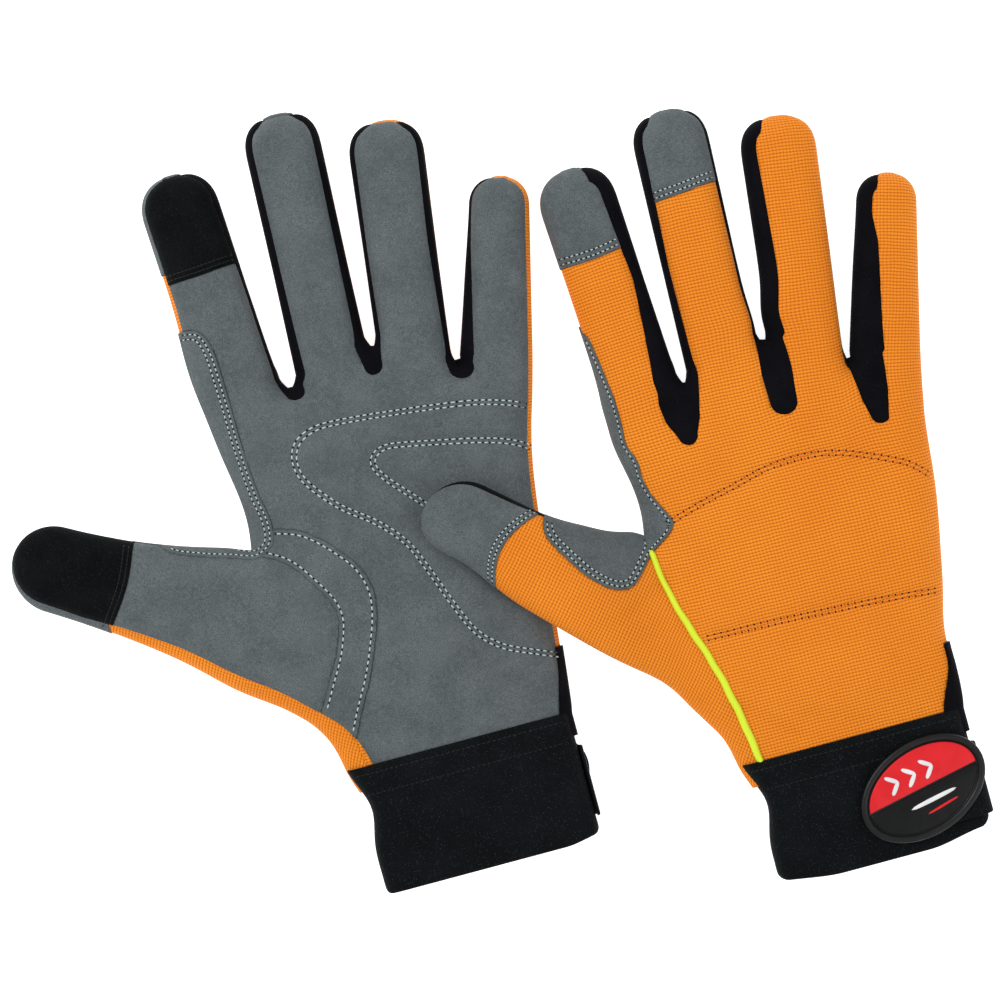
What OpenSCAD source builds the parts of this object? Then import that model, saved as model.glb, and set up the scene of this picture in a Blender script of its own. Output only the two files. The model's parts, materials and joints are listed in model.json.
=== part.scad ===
// Pair of work gloves lying flat: the left-hand glove palm up, the right-hand glove
// back up, with the right thumb lying over the heel of the left palm.
// Each glove is drawn once in its own frame and placed twice. In that frame +Y runs
// from the cuff to the fingertips, the thumb is at -X, the palm faces -Z and the back
// faces +Z. The left-hand glove is the same drawing mirrored through Z.

/* [Hand] */
// From the edge of the cuff to the roots of the fingers
palm_length = 150; // [142:1:156]
// Length of the middle finger from its root
finger_length = 100; // [92:1:106]
// Width across the knuckles
knuckle_width = 97; // [94:1:102]
// Half width of a finger
finger_half = 12; // [11.4:0.1:12.4]
// Length of the thumb from the ball of the hand to the middle of its tip
thumb_length = 68.5; // [60:0.5:72]
// Half width of the thumb's tip
thumb_half = 14; // [12:0.5:15]
// Direction of the thumbs, left and right glove, in degrees from +X
thumb_angle = [149, 139]; // [135:1:152]

/* [Fabric] */
// Thickness of the whole glove, palm face to back face
glove_thick = 14; // [13:0.5:16]
// Thickness of a sewn panel
panel = 1.2; // [1:0.1:1.6]
// Thickness of a patch let into the palm
patch = 0.5; // [0.4:0.1:0.6]
// Width of the piping along the thumb seam
piping_width = 2.4; // [2:0.1:3]

/* [Cuff] */
// Height of the elastic cuff
cuff_height = 41; // [36:1:44]
// Width of the flattened cuff
cuff_width = 74; // [70:1:78]
// Thickness of the elastic band
band = 1.5; // [1.2:0.1:1.6]
// Thickness of the flattened cuff
cuff_thick = 7.8; // [7.6:0.1:8]

/* [Closure] */
// Length of the oval badge
badge_length = 43.5; // [38:0.5:44]
// Width of the oval badge
badge_width = 30; // [26:0.5:30]
// Tilt of the badge on its tab, in degrees
badge_tilt = 20; // [14:1:22]
// Tilt of the line that divides the badge's two fields, in degrees
divide_tilt = 12; // [4:1:20]
// Width of the badge's raised rim
rim = 1.6; // [1.2:0.1:2]

/* [Pair] */
// Step from the left glove to the right glove, across and along
pair_step = [121.5, -31]; // [-40:0.5:140]

/* [Hidden] */
SIDES = ["left", "right"];
HAND_PARTS = [
    "palm", "thumb_palm", "thenar_patch", "back", "thumb_back", "index_cap", "middle_cap",
    "thumb_cap", "fourchette_index_middle", "fourchette_middle_ring",
    "fourchette_ring_little", "index_touch", "thumb_touch", "crotch_patch", "piping",
    "palm_padding", "back_padding", "cuff_palm", "cuff_back", "gusset", "loop_patch"
];
TAB_PARTS = ["closure_tab", "hook_patch", "badge_base", "badge_upper", "badge_lower"];
NODES = [for (g = SIDES) for (p = concat(HAND_PARTS, TAB_PARTS)) str(g, "_", p)];
node = "all";

LEFT = 0;
RIGHT = 1;
INDEX = 0;
MIDDLE = 1;
RING = 2;
LITTLE = 3;

half_glove = glove_thick / 2;
half_cuff = cuff_thick / 2;
cuff_side = cuff_width / 2;
far = 400;                  // reaches past the glove on every side
step = 0.05;                // clearance beside the piping

// Fingers, from the index to the little finger
root_x = knuckle_width * [-0.363, -0.09, 0.168, 0.39];
root_drop = [0, 0, 0, 7];
splay = [4, -2, -7.5, -16];
reach = finger_length * [0.902, 1, 0.908, 0.74];
root_half = finger_half * [1.05, 1, 0.965, 1];
tip_half = finger_half * [1.08, 1, 1, 0.9];
crotch_y = palm_length + 14;
crotch_rise = [0, 6, 0];

// Thumb and the seams around it
thumb_base = [-52, 92];
crotch = [-48.5, 118];      // between the thumb and the index finger
heel = [-46, 61];           // where the thumb's lower edge meets the wrist
wrist_left = [-cuff_side - 3, cuff_height];
wrist_right = [cuff_side, cuff_height];
fold_x = [-50, -75];        // the right thumb climbs between these
taper_y = 62;               // the wrist is thinner below this

// Lengths of the pieces at the fingertips
index_cap_length = 29;
middle_cap_length = 24.5;
thumb_cap_length = 33;
index_touch_length = 31;
thumb_touch_length = 36.5;

// The stack on the back of the cuff, in heights above the glove's middle plane
loop_top = half_cuff + 0.5;
hook_floor = loop_top + 0.1;
tab_floor = hook_floor + 0.5;
tab_top = tab_floor + 0.8;
badge_floor = tab_top + 0.6;
badge_centre = [16.7, 20.2];
tab_wrap = [7, 30];
hinge_x = cuff_side + 1;

// The right thumb lies on the left glove with a little room to spare
thumb_lift = [0, glove_thick + 0.4];
left_edge = thumb_base[0] + thumb_length * cos(thumb_angle[LEFT]) - thumb_half;
right_edge = pair_step[0] + tip(LITTLE)[0] + tip_half[LITTLE];
top_edge = palm_length + finger_length;
bottom_edge = pair_step[1];
origin = -[left_edge + right_edge, top_edge + bottom_edge] / 2;
place_at = [origin, origin + pair_step];

orange = "darkorange";
grey = "slategray";
black = [0.09, 0.09, 0.11];

// ---- Curves ----

function along(a) = [-sin(a), cos(a)];
function across(a) = [cos(a), sin(a)];
function ray(a) = [cos(a), sin(a)];

// An arc about c without its first point
function arc(c, r, a0, a1, n = 14) = [for (i = [1 : n]) c + r * ray(a0 + (a1 - a0) * i / n)];

// A Bezier curve through its first and last points, without its first point
function bezier(a, b, c, d, n = 10) = [
    for (i = [1 : n]) let (t = i / n, u = 1 - t)
        u * u * u * a + 3 * u * u * t * b + 3 * u * t * t * c + t * t * t * d
];
function backwards(p) = [for (i = [len(p) - 1 : -1 : 0]) p[i]];

// ---- Fingers and outline. inset moves the outline in by that much ----

function root(f) = [root_x[f], palm_length - root_drop[f]];
function tip(f) = root(f) + along(splay[f]) * (reach[f] - tip_half[f]);
function root_side(f, s, inset) = root(f) + s * across(splay[f]) * (root_half[f] - inset);
function tip_side(f, s, inset) = tip(f) + s * across(splay[f]) * (tip_half[f] - inset);
function side_x(f, s, y, inset) =
    let (p = root_side(f, s, inset), q = tip_side(f, s, inset))
    p[0] + (q[0] - p[0]) * (y - p[1]) / (q[1] - p[1]);

function fingertip(f, inset) = concat(
    [tip_side(f, 1, inset)],
    arc(tip(f), tip_half[f] - inset, splay[f], splay[f] + 180)
);

// The rounded notch between finger f and the next one, from right to left
function notch(f, inset) =
    let (y = crotch_y + crotch_rise[f], l = side_x(f, 1, y, inset), r = side_x(f + 1, -1, y, inset))
    [for (i = [0 : 6]) [(l + r) / 2 + (r - l) / 2 * cos(30 * i), y - (2.5 + inset) * sin(30 * i)]];

function ulnar_edge(inset) =
    let (s = [-inset, 0], p = root_side(LITTLE, 1, inset))
    bezier(wrist_right + s, wrist_right + [1.5, 34] + s, p - 22 * along(splay[LITTLE]), p);
function crotch_in(inset) = crotch + inset * [1, -0.8];
function radial_edge(inset) =
    let (p = root_side(INDEX, -1, inset), q = crotch_in(inset))
    concat([p], bezier(p, p - 12 * along(splay[INDEX]), q + [3.5, 10], q));

// The hand's outline from the wrist up the little finger's side, round every finger
// and down to the thumb's crotch
function hand_outline(inset) = concat(
    [wrist_right - [inset, inset]], ulnar_edge(inset),
    fingertip(LITTLE, inset), notch(RING, inset),
    fingertip(RING, inset), notch(MIDDLE, inset),
    fingertip(MIDDLE, inset), notch(INDEX, inset),
    fingertip(INDEX, inset), radial_edge(inset)
);

function thumb_tip(g) = thumb_base + thumb_length * ray(thumb_angle[g]);

// The thumb's outline from the crotch, round the tip, to the heel
function thumb_outline(g, inset) =
    let (a = thumb_angle[g], c = thumb_tip(g), r = thumb_half - inset,
         p = crotch_in(inset), q = c + r * ray(a - 90), e = c - r * ray(a - 90),
         h = heel + inset * [0.7, 0.7])
    concat(
        bezier(p, p + [-18, 5], q - 20 * ray(a), q),
        arc(c, r, a - 90, a + 90),
        bezier(e, e - 25 * ray(a), h + [-16, 15], h)
    );
function heel_edge(inset) =
    let (h = heel + inset * [0.7, 0.7], w = wrist_left + [inset, -inset])
    bezier(h, h + [4, -4], w + [0, 10], w, 6);

function thenar_seam() = bezier(crotch, [-18, 112], [-18, 72], heel);
function thenar_band_edge() = bezier(crotch + [7, 4], [-6, 116], [-6, 68], [-33, 50]);
function piping_line(shift) =
    let (s = [shift, 0])
    concat([crotch + s], bezier(crotch + s, [-45, 95] + s, [-30, 70] + s, [-29.5, cuff_height] + s));

// ---- Solids ----

// Heights of a layer are given as [k, c], which means k times half the glove's
// thickness there, plus c
PALM_FACE = [-1, 0];
PALM_PATCH = [-1, patch];
PALM_INSIDE = [-1, panel];
BACK_INSIDE = [1, -panel];
BACK_FACE = [1, 0];

function profile(h) = [
    for (p = [[-5, half_cuff], [cuff_height, half_cuff], [taper_y, half_glove], [far, half_glove]])
        [p[0], h[0] * p[1] + h[1]]
];
// The space between two heights over the hand, from x onwards. It thins at the wrist
module hand_layer(low, high, x) {
    translate([x, 0, 0])
        rotate([90, 0, 90])
            linear_extrude(2 * far)
                polygon(concat(profile(low), backwards(profile(high))));
}

// The same over the thumb, which climbs beyond the fold on the right glove
function climb(g, h) = [
    [fold_x[0], h[0] * half_glove + h[1]],
    [fold_x[1], h[0] * half_glove + h[1] + thumb_lift[g]],
    [-far, h[0] * half_glove + h[1] + thumb_lift[g]]
];
module climb_layer(g, low, high) {
    translate([0, far, 0])
        rotate([90, 0, 0])
            linear_extrude(2 * far)
                polygon(concat(climb(g, low), backwards(climb(g, high))));
}

module tall() {
    translate([0, 0, -far / 2]) linear_extrude(far) children();
}

// A flat outline given thickness between two heights
module sheet(low, high) {
    intersection() {
        tall() children();
        hand_layer(low, high, -far);
    }
}

// The same for an outline that lies wholly on the thumb, or runs on to it
module thumb_tip_sheet(g, low, high) {
    intersection() {
        tall() children();
        climb_layer(g, low, high);
    }
}
module thumb_sheet(g, low, high) {
    thumb_tip_sheet(g, low, high) children();
    intersection() {
        tall() children();
        hand_layer(low, high, fold_x[0]);
    }
}

// The whole outline with the thumb, and the thin wall that follows it
module whole(g, inset = 0) {
    polygon(concat(hand_outline(inset), thumb_outline(g, inset), heel_edge(inset)));
}
module wall(g) {
    difference() {
        whole(g);
        whole(g, panel);
    }
}

// Everything beyond a line across finger f, length back from its tip
module beyond(f, length) {
    translate(root(f) + along(splay[f]) * (reach[f] - length))
        rotate(splay[f])
            translate([-1.4 * finger_half, 0]) square([2.8 * finger_half, 2 * length]);
}
module beyond_thumb(g, length) {
    translate(thumb_base + ray(thumb_angle[g]) * (thumb_length + thumb_half - length))
        rotate(thumb_angle[g])
            translate([0, -2 * thumb_half]) square([2 * length, 4 * thumb_half]);
}

// The part of the wall that a fourchette makes, between two fingers
module between(f) {
    a = splay[f] - 35;
    b = splay[f + 1] + 35;
    polygon([
        root(f) - [0, 14], root(f + 1) - [0, 14 - root_drop[f + 1]], tip(f + 1),
        tip(f + 1) + 30 * along(b), tip(f) + 30 * along(a), tip(f)
    ]);
}
module fourchettes_area() {
    for (f = [INDEX : RING]) between(f);
}

// The area that the crotch patch covers on the hand's side
module crotch_area() {
    polygon(concat(
        [[-60, 190], [-44, 190], [-42.5, 182], [-42.5, 160], [-41, 128], [-43, 115]],
        [crotch - [0, 5], crotch - [12, 0], [-60, 140]]
    ));
}

// On the thumb it takes the upper edge's wall, and a saddle on the back
module thumb_crotch_edge(g) {
    a = thumb_angle[g];
    translate(thumb_base + ray(a) * (thumb_length + thumb_half - thumb_touch_length))
        rotate(a - 180)
            translate([0.4, thumb_half - 6]) square([60, 20]);
}
module thumb_saddle_area() {
    polygon(concat([[-78, 150], [-78, 134]], bezier([-78, 134], [-75, 116], [-62, 100], crotch - [0, 8])));
}
module thumb_area(g) {
    polygon(concat(thumb_outline(g, 0), heel_edge(0), [[-29.5, cuff_height]],
        backwards(piping_line(0))));
}

module hand_area() { polygon(concat(hand_outline(0), [wrist_left + [6, 0]])); }

module gusset_area() { translate([0, cuff_height]) square([far, 21]); }

module palm_area() { polygon(concat(hand_outline(0), thenar_seam(), heel_edge(0))); }
module palm(g) {
    color(grey) difference() {
        sheet(PALM_FACE, PALM_INSIDE) difference() {
            palm_area();
            crotch_area();
        }
        sheet([-1, -1], PALM_PATCH) {
            intersection() { whole(g); beyond(INDEX, index_touch_length); }
            thenar_area();
        }
    }
}

module thumb_palm(g) {
    color(grey) difference() {
        thumb_sheet(g, PALM_FACE, PALM_INSIDE)
            polygon(concat(thumb_outline(g, 0), backwards(thenar_seam()), [crotch]));
        thumb_tip_sheet(g, [-1, -1], PALM_PATCH) beyond_thumb(g, thumb_touch_length);
    }
}

// The crescent that doubles the palm around the ball of the thumb
module thenar_area() {
    polygon(concat(thenar_seam(), [[-33, 50]], backwards(thenar_band_edge())));
}
module thenar_patch(g) {
    color(grey) sheet(PALM_FACE, PALM_PATCH) difference() {
        intersection() {
            thenar_area();
            palm_area();
        }
        crotch_area();
    }
}

module back(g) {
    color(orange) {
        sheet(BACK_INSIDE, BACK_FACE) difference() {
            polygon(concat(hand_outline(0), piping_line(piping_width / 2 + step)));
            beyond(INDEX, index_cap_length);
            beyond(MIDDLE, middle_cap_length);
            crotch_area();
        }
        sheet(PALM_INSIDE, BACK_INSIDE) difference() {
            intersection() { wall(g); hand_area(); }
            beyond(INDEX, index_cap_length);
            beyond(MIDDLE, middle_cap_length);
            crotch_area();
            fourchettes_area();
            gusset_area();
        }
    }
}

module thumb_back(g) {
    color(orange) {
        thumb_sheet(g, BACK_INSIDE, BACK_FACE) difference() {
            polygon(concat(
                thumb_outline(g, 0), heel_edge(0),
                backwards(piping_line(-piping_width / 2 - step))
            ));
            beyond_thumb(g, thumb_cap_length);
            thumb_saddle_area();
        }
        thumb_sheet(g, PALM_INSIDE, BACK_INSIDE) difference() {
            intersection() { wall(g); thumb_area(g); }
            beyond_thumb(g, thumb_cap_length);
            thumb_crotch_edge(g);
            crotch_area();
        }
    }
}

module finger_cap(g, f, length) {
    color(grey) {
        sheet(BACK_INSIDE, BACK_FACE) intersection() { whole(g); beyond(f, length); }
        sheet(PALM_INSIDE, BACK_INSIDE) difference() {
            intersection() { wall(g); beyond(f, length); }
            fourchettes_area();
        }
    }
}

module thumb_cap(g) {
    color(grey) {
        thumb_tip_sheet(g, BACK_INSIDE, BACK_FACE)
            intersection() { whole(g); beyond_thumb(g, thumb_cap_length); }
        thumb_tip_sheet(g, PALM_INSIDE, BACK_INSIDE) difference() {
            intersection() { wall(g); beyond_thumb(g, thumb_cap_length); }
            thumb_crotch_edge(g);
        }
    }
}

module fourchette(g, f) {
    color(black) sheet(PALM_INSIDE, BACK_INSIDE) intersection() { wall(g); between(f); }
}

module index_touch(g) {
    color(black) sheet(PALM_FACE, PALM_PATCH)
        intersection() { whole(g); beyond(INDEX, index_touch_length); }
}
module thumb_touch(g) {
    color(black) thumb_tip_sheet(g, PALM_FACE, PALM_PATCH)
        intersection() { whole(g); beyond_thumb(g, thumb_touch_length); }
}

// The saddle between thumb and index finger: palm face, edge wall and back face
module crotch_patch(g) {
    color(grey) {
        sheet(PALM_FACE, PALM_INSIDE) intersection() { palm_area(); crotch_area(); }
        sheet(PALM_INSIDE, BACK_INSIDE)
            intersection() { wall(g); hand_area(); crotch_area(); }
        sheet(BACK_INSIDE, BACK_FACE) difference() {
            intersection() { hand_area(); crotch_area(); }
            piping_area(step);
        }
        thumb_sheet(g, PALM_INSIDE, BACK_INSIDE) difference() {
            intersection() { wall(g); thumb_crotch_edge(g); }
            hand_area();
        }
        thumb_sheet(g, BACK_INSIDE, BACK_FACE) difference() {
            intersection() { thumb_area(g); thumb_saddle_area(); }
            beyond_thumb(g, thumb_cap_length);
            piping_area(step);
        }
    }
}

module piping_area(gap) {
    polygon(concat(
        piping_line(-piping_width / 2 - gap), backwards(piping_line(piping_width / 2 + gap))
    ));
}
module piping(g) {
    color("greenyellow") sheet(BACK_INSIDE, BACK_FACE) piping_area(0);
}

// Foam inside the palm, a C that follows the two rows of stitching
module palm_padding(g) {
    outer = bezier([38, 147], [-14, 156], [-48, 150], [-18, 124]);
    outer_leg = bezier([-18, 124], [2, 106], [6, 66], [34, 64]);
    inner_leg = bezier([34, 76], [16, 78], [16, 104], [-2, 128]);
    inner = bezier([-2, 128], [-12, 140], [4, 141], [38, 134]);
    color("white") sheet([-1, panel], [-1, panel + 1.2])
        polygon(concat([[38, 147]], outer, outer_leg, [[34, 76]], inner_leg, inner));
}

// Foam inside the back, from the knuckles to the middle of the hand
module back_padding(g) {
    knuckles = bezier([40, 119], [18, 138], [-14, 132], [-37, 124]);
    color("white") sheet([1, -panel - 1.2], [1, -panel])
        polygon(concat([[38.5, 82], [40, 119]], knuckles, [[-35, 86]]));
}

function cuff_outline(inset) = concat(
    [[cuff_side, cuff_height] - [inset, -1]],
    [[cuff_side, 4] - [inset, 0]],
    bezier([cuff_side - inset, 4], [cuff_side - inset, 0], [cuff_side - 8, 1], [20, 0.4]),
    bezier([20, 0.4], [6, 0], [-6, 0], [-20, 0.4]),
    bezier([-20, 0.4], [-cuff_side + 8, 1], [-cuff_side + inset, 0], [-cuff_side + inset, 4]),
    [[-cuff_side - 3 + inset, cuff_height + 1]]
);

module cuff_half(z0, z1, wall_z0, wall_z1) {
    color(black) {
        translate([0, 0, z0]) linear_extrude(z1 - z0) intersection() {
            polygon(cuff_outline(0));
            translate([-far, 0]) square([2 * far, cuff_height]);
        }
        for (s = [-1, 1])
            translate([0, 0, wall_z0]) linear_extrude(wall_z1 - wall_z0)
                polygon([
                    [s * cuff_side, 4], [s * (cuff_side - band), 4],
                    [s < 0 ? wall_left(1) : cuff_side - band, cuff_height],
                    [s < 0 ? wall_left(0) : cuff_side, cuff_height]
                ]);
    }
}
function wall_left(k) = wrist_left[0] + k * band;

module cuff_palm(g) {
    cuff_half(-half_cuff, -half_cuff + band, -half_cuff + band, 0);
}
module cuff_back(g) {
    cuff_half(half_cuff - band, half_cuff, 0, half_cuff - band);
}

module gusset(g) {
    color(black) sheet(PALM_INSIDE, BACK_INSIDE)
        intersection() { wall(g); gusset_area(); }
}

function ellipse(c, a, b, tilt, n = 40) = [
    for (i = [0 : n - 1]) let (t = 360 * i / n)
        c + [a * cos(t) * cos(tilt) - b * sin(t) * sin(tilt),
             a * cos(t) * sin(tilt) + b * sin(t) * cos(tilt)]
];
module badge_oval(inset) {
    polygon(ellipse(badge_centre, badge_length / 2 - inset, badge_width / 2 - inset, badge_tilt));
}

// Lies under the badge, on the flat of the cuff
module loop_patch(g) {
    color([0.13, 0.13, 0.15]) translate([0, 0, half_cuff])
        linear_extrude(loop_top - half_cuff) intersection() {
            badge_oval(1.5);
            translate([badge_centre[0] - badge_length, 0]) square([badge_length + 16, cuff_height]);
        }
}

// The strap wraps the ulnar edge of the cuff and lies on its back
module closure_tab(g) {
    color(black) {
        translate([0, 0, tab_floor]) linear_extrude(tab_top - tab_floor) {
            badge_oval(0);
            translate([badge_centre[0], tab_wrap[0]])
                square([hinge_x + 0.6 - badge_centre[0], tab_wrap[1] - tab_wrap[0]]);
        }
        translate([hinge_x - 0.6, tab_wrap[0], 0])
            cube([1.2, tab_wrap[1] - tab_wrap[0], tab_top]);
    }
}

module hook_patch(g) {
    color([0.05, 0.05, 0.06]) translate([0, 0, hook_floor])
        linear_extrude(tab_floor - hook_floor) badge_oval(3);
}

module badge_base(g) {
    color([0.2, 0.2, 0.22]) {
        translate([0, 0, tab_top]) linear_extrude(badge_floor - tab_top) badge_oval(0);
        translate([0, 0, badge_floor]) linear_extrude(half_glove - badge_floor)
            difference() {
                badge_oval(0);
                badge_oval(rim);
            }
    }
}

// One of the two coloured fields inside the rim, above or below the dividing line
module badge_field(upper) {
    gap = 0.5;
    translate([0, 0, badge_floor]) linear_extrude(0.4) intersection() {
        badge_oval(rim + gap);
        translate(badge_centre) rotate(divide_tilt)
            translate([-badge_length, upper ? gap : -gap - badge_width])
                square([2 * badge_length, badge_width]);
    }
}
module badge_upper(g) { color("crimson") badge_field(true); }
module badge_lower(g) { color(black) badge_field(false); }

// Puts a glove of the pair in its place, mirrored for the left hand
module place(g) {
    translate([place_at[g][0], place_at[g][1], half_glove])
        mirror([0, 0, g == LEFT ? 1 : 0]) children();
}

function wanted(g, name) = node == "all" || node == str(SIDES[g], "_", name);

for (g = [LEFT, RIGHT]) {
    if (wanted(g, "palm")) place(g) palm(g);
    if (wanted(g, "thumb_palm")) place(g) thumb_palm(g);
    if (wanted(g, "thenar_patch")) place(g) thenar_patch(g);
    if (wanted(g, "back")) place(g) back(g);
    if (wanted(g, "thumb_back")) place(g) thumb_back(g);
    if (wanted(g, "index_cap")) place(g) finger_cap(g, INDEX, index_cap_length);
    if (wanted(g, "middle_cap")) place(g) finger_cap(g, MIDDLE, middle_cap_length);
    if (wanted(g, "thumb_cap")) place(g) thumb_cap(g);
    if (wanted(g, "fourchette_index_middle")) place(g) fourchette(g, INDEX);
    if (wanted(g, "fourchette_middle_ring")) place(g) fourchette(g, MIDDLE);
    if (wanted(g, "fourchette_ring_little")) place(g) fourchette(g, RING);
    if (wanted(g, "index_touch")) place(g) index_touch(g);
    if (wanted(g, "thumb_touch")) place(g) thumb_touch(g);
    if (wanted(g, "crotch_patch")) place(g) crotch_patch(g);
    if (wanted(g, "piping")) place(g) piping(g);
    if (wanted(g, "palm_padding")) place(g) palm_padding(g);
    if (wanted(g, "back_padding")) place(g) back_padding(g);
    if (wanted(g, "cuff_palm")) place(g) cuff_palm(g);
    if (wanted(g, "cuff_back")) place(g) cuff_back(g);
    if (wanted(g, "gusset")) place(g) gusset(g);
    if (wanted(g, "loop_patch")) place(g) loop_patch(g);
    if (wanted(g, "closure_tab")) place(g) closure_tab(g);
    if (wanted(g, "hook_patch")) place(g) hook_patch(g);
    if (wanted(g, "badge_base")) place(g) badge_base(g);
    if (wanted(g, "badge_upper")) place(g) badge_upper(g);
    if (wanted(g, "badge_lower")) place(g) badge_lower(g);
}
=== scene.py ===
"""Looks for a pair of work gloves lying flat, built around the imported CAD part.

Each glove is made in its own frame, in millimetres: the origin is the bottom of the cuff, +Y runs to
the fingertips, the thumb is at -X, the palm faces -Z and the back faces +Z. place() puts it in the row frame.
A glove starts as one closed skin around its plan outline. The skin is then cut into sewn panels.
"""

import json
import math

import bpy
import numpy as np
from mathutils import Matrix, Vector
from mathutils.bvhtree import BVHTree

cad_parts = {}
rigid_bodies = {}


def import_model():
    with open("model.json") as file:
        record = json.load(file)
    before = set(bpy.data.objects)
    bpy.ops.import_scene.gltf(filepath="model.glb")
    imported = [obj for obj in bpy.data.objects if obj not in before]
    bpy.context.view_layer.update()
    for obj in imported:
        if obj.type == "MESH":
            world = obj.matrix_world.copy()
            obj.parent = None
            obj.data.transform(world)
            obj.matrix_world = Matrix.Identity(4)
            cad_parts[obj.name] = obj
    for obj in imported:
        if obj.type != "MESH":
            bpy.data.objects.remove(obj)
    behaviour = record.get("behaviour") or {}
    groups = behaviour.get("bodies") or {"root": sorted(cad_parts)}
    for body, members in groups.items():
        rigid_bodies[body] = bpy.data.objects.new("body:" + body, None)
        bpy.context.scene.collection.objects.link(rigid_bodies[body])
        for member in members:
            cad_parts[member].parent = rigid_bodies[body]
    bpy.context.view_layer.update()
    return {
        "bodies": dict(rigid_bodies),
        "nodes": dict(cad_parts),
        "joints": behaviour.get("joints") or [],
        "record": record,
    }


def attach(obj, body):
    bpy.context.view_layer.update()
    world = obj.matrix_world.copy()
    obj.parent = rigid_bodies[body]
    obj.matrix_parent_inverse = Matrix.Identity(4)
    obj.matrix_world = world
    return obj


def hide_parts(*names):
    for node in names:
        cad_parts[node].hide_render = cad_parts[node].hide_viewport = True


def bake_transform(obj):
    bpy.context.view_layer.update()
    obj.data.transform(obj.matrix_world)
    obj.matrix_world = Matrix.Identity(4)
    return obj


MM = 0.001
LEFT, RIGHT = 0, 1
SIDES = ("left", "right")
INDEX, MIDDLE, RING, LITTLE = range(4)
BACK, PALM = 1, -1

# Plan of the hand, as in the CAD part
PALM_LENGTH = 150
ROOT_X = 97 * np.array([-0.363, -0.09, 0.168, 0.39])
ROOT_DROP = (0, 0, 0, 7)
SPLAY = (4, -2, -7.5, -16)
REACH = 100 * np.array([0.902, 1.003, 0.905, 0.728])
ROOT_HALF = 12 * np.array([1.05, 1, 0.965, 1])
TIP_HALF = 12 * np.array([1.04, 1.03, 1.04, 0.83])
BLUNT = (0.86, 0.76, 0.78, 0.9)    # 1 is a round fingertip, less is squarer
CROTCH_Y = (168, 174, 160.5)
NOTCH_DEPTH = 3.5
THUMB_ANGLE = (149, 139)
THUMB_BASE = np.array([-52.0, 92.0])
THUMB_LENGTH = 68.5
THUMB_HALF = 14
CROTCH = np.array([-48.5, 118.0])
HEEL = np.array([-46.0, 61.0])
WRIST_LEFT = np.array([-38.6, 41.0])
WRIST_RIGHT = np.array([36.2, 41.0])
CUFF_HEIGHT = 41
CUFF_LEFT = (35.3, 34.6)     # the cuff's bottom left corner on each glove
PLACE_AT = ((-31.417, -109.5), (90.083, -140.5))
MID_HEIGHT = 7

# The skin
PITCH = 1.2                # size of a mesh cell
FLANK = 9.5                # width over which the glove's side rounds off
HALF_THICK = 7.0
CUFF_HALF_THICK = 3.1      # the fabric's half thickness inside the cuff
FABRIC = 1.0               # thickness of a panel
THUMB_LIFT = (0, 15.2)     # the right thumb lies on the left glove
FOLD_X = (-44, -82)        # where the right thumb starts to climb, and where it lies flat again

# How wide the black strips show beside each finger, at its tip, middle and root: from the back, from the palm
STRIP = {
    (INDEX, 1): ((5.4, 4.2, 8.8), (1.6, 0.8, 0.8)), (MIDDLE, -1): ((2.8, 1.8, 2.6), (2.4, 2.4, 2.8)),
    (MIDDLE, 1): ((1.4, 1.0, 1.4), (2.2, 2.6, 3.0)), (RING, -1): ((4.4, 5.2, 5.8), (1.7, 1.3, 1.6)),
    (RING, 1): ((0.2, 0.2, 0.4), (2.6, 2.8, 1.4)), (LITTLE, -1): ((4.8, 7.2, 10.6), (0.9, 1.2, 4.0)),
}
# Black web below each gap between fingers, as circles (x, y, radius) from top to bottom
WEBS = {
    BACK: (
        ((-24.3, 166, 7.0), (-25.4, 159.2, 6.9), (-25.7, 152.8, 5.6), (-25.9, 147.9, 3.2)),
        ((7.4, 174, 3.8), (7.3, 169.7, 4.0), (6.7, 160.3, 4.4), (6.1, 150.0, 3.8)),
        ((34.9, 158, 5.4), (34.4, 151.9, 5.2), (34.0, 144.0, 4.3), (33.8, 138.8, 3.0)),
    ),
    PALM: (
        ((-21.7, 167, 2.0), (-20.9, 162.4, 2.2)),
        ((4.4, 171, 3.8), (4.6, 164.2, 3.0)),
        ((30.3, 159.5, 2.6), (30.7, 156.2, 3.0)),
    ),
}
# How each glove lies: how far every finger leans sideways at its root and at its tip, and the thumb upwards
LEAN = (
    ((-2.6, -1.7), (-0.3, -0.1), (-0.6, -0.8), (1.3, 0.7)),
    ((-0.2, 0.4), (-1.5, -1.4), (0.0, -0.9), (-0.2, -0.9)),
)
THUMB_LEAN = (0.7, 2.1)
# Places where a glove's edge lies a little off its pattern: (x, y, reach, shift across, shift along)
NUDGES = (
    ((-38, 28, 10, 3.8, 0), (-45, 57, 9, -0.4, -0.5), (-66, 74, 14, -0.6, -1.5), (-49, 118, 6, -0.2, -0.8),
     (-50, 176, 16, -1.4, 0.2)),
    ((44, 112, 24, 2.4, -0.5), (39, 66, 12, -1.8, 0.3), (-56, 71, 12, 2.2, 1.4), (-45, 57, 7, -0.8, -0.6),
     (-38, 28, 10, 4.2, 0), (-118, 123, 13, 3.6, 2.6), (-106, 116, 10, 0.7, 1.3), (-47.5, 152, 14, -2.4, 0),
     (-52, 119, 8, 0, 1.5), (-66, 126, 9, 0.2, 0.8), (0, 178, 8, 2.2, 0), (11, 178, 8, -2.2, 0)),
)

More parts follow.
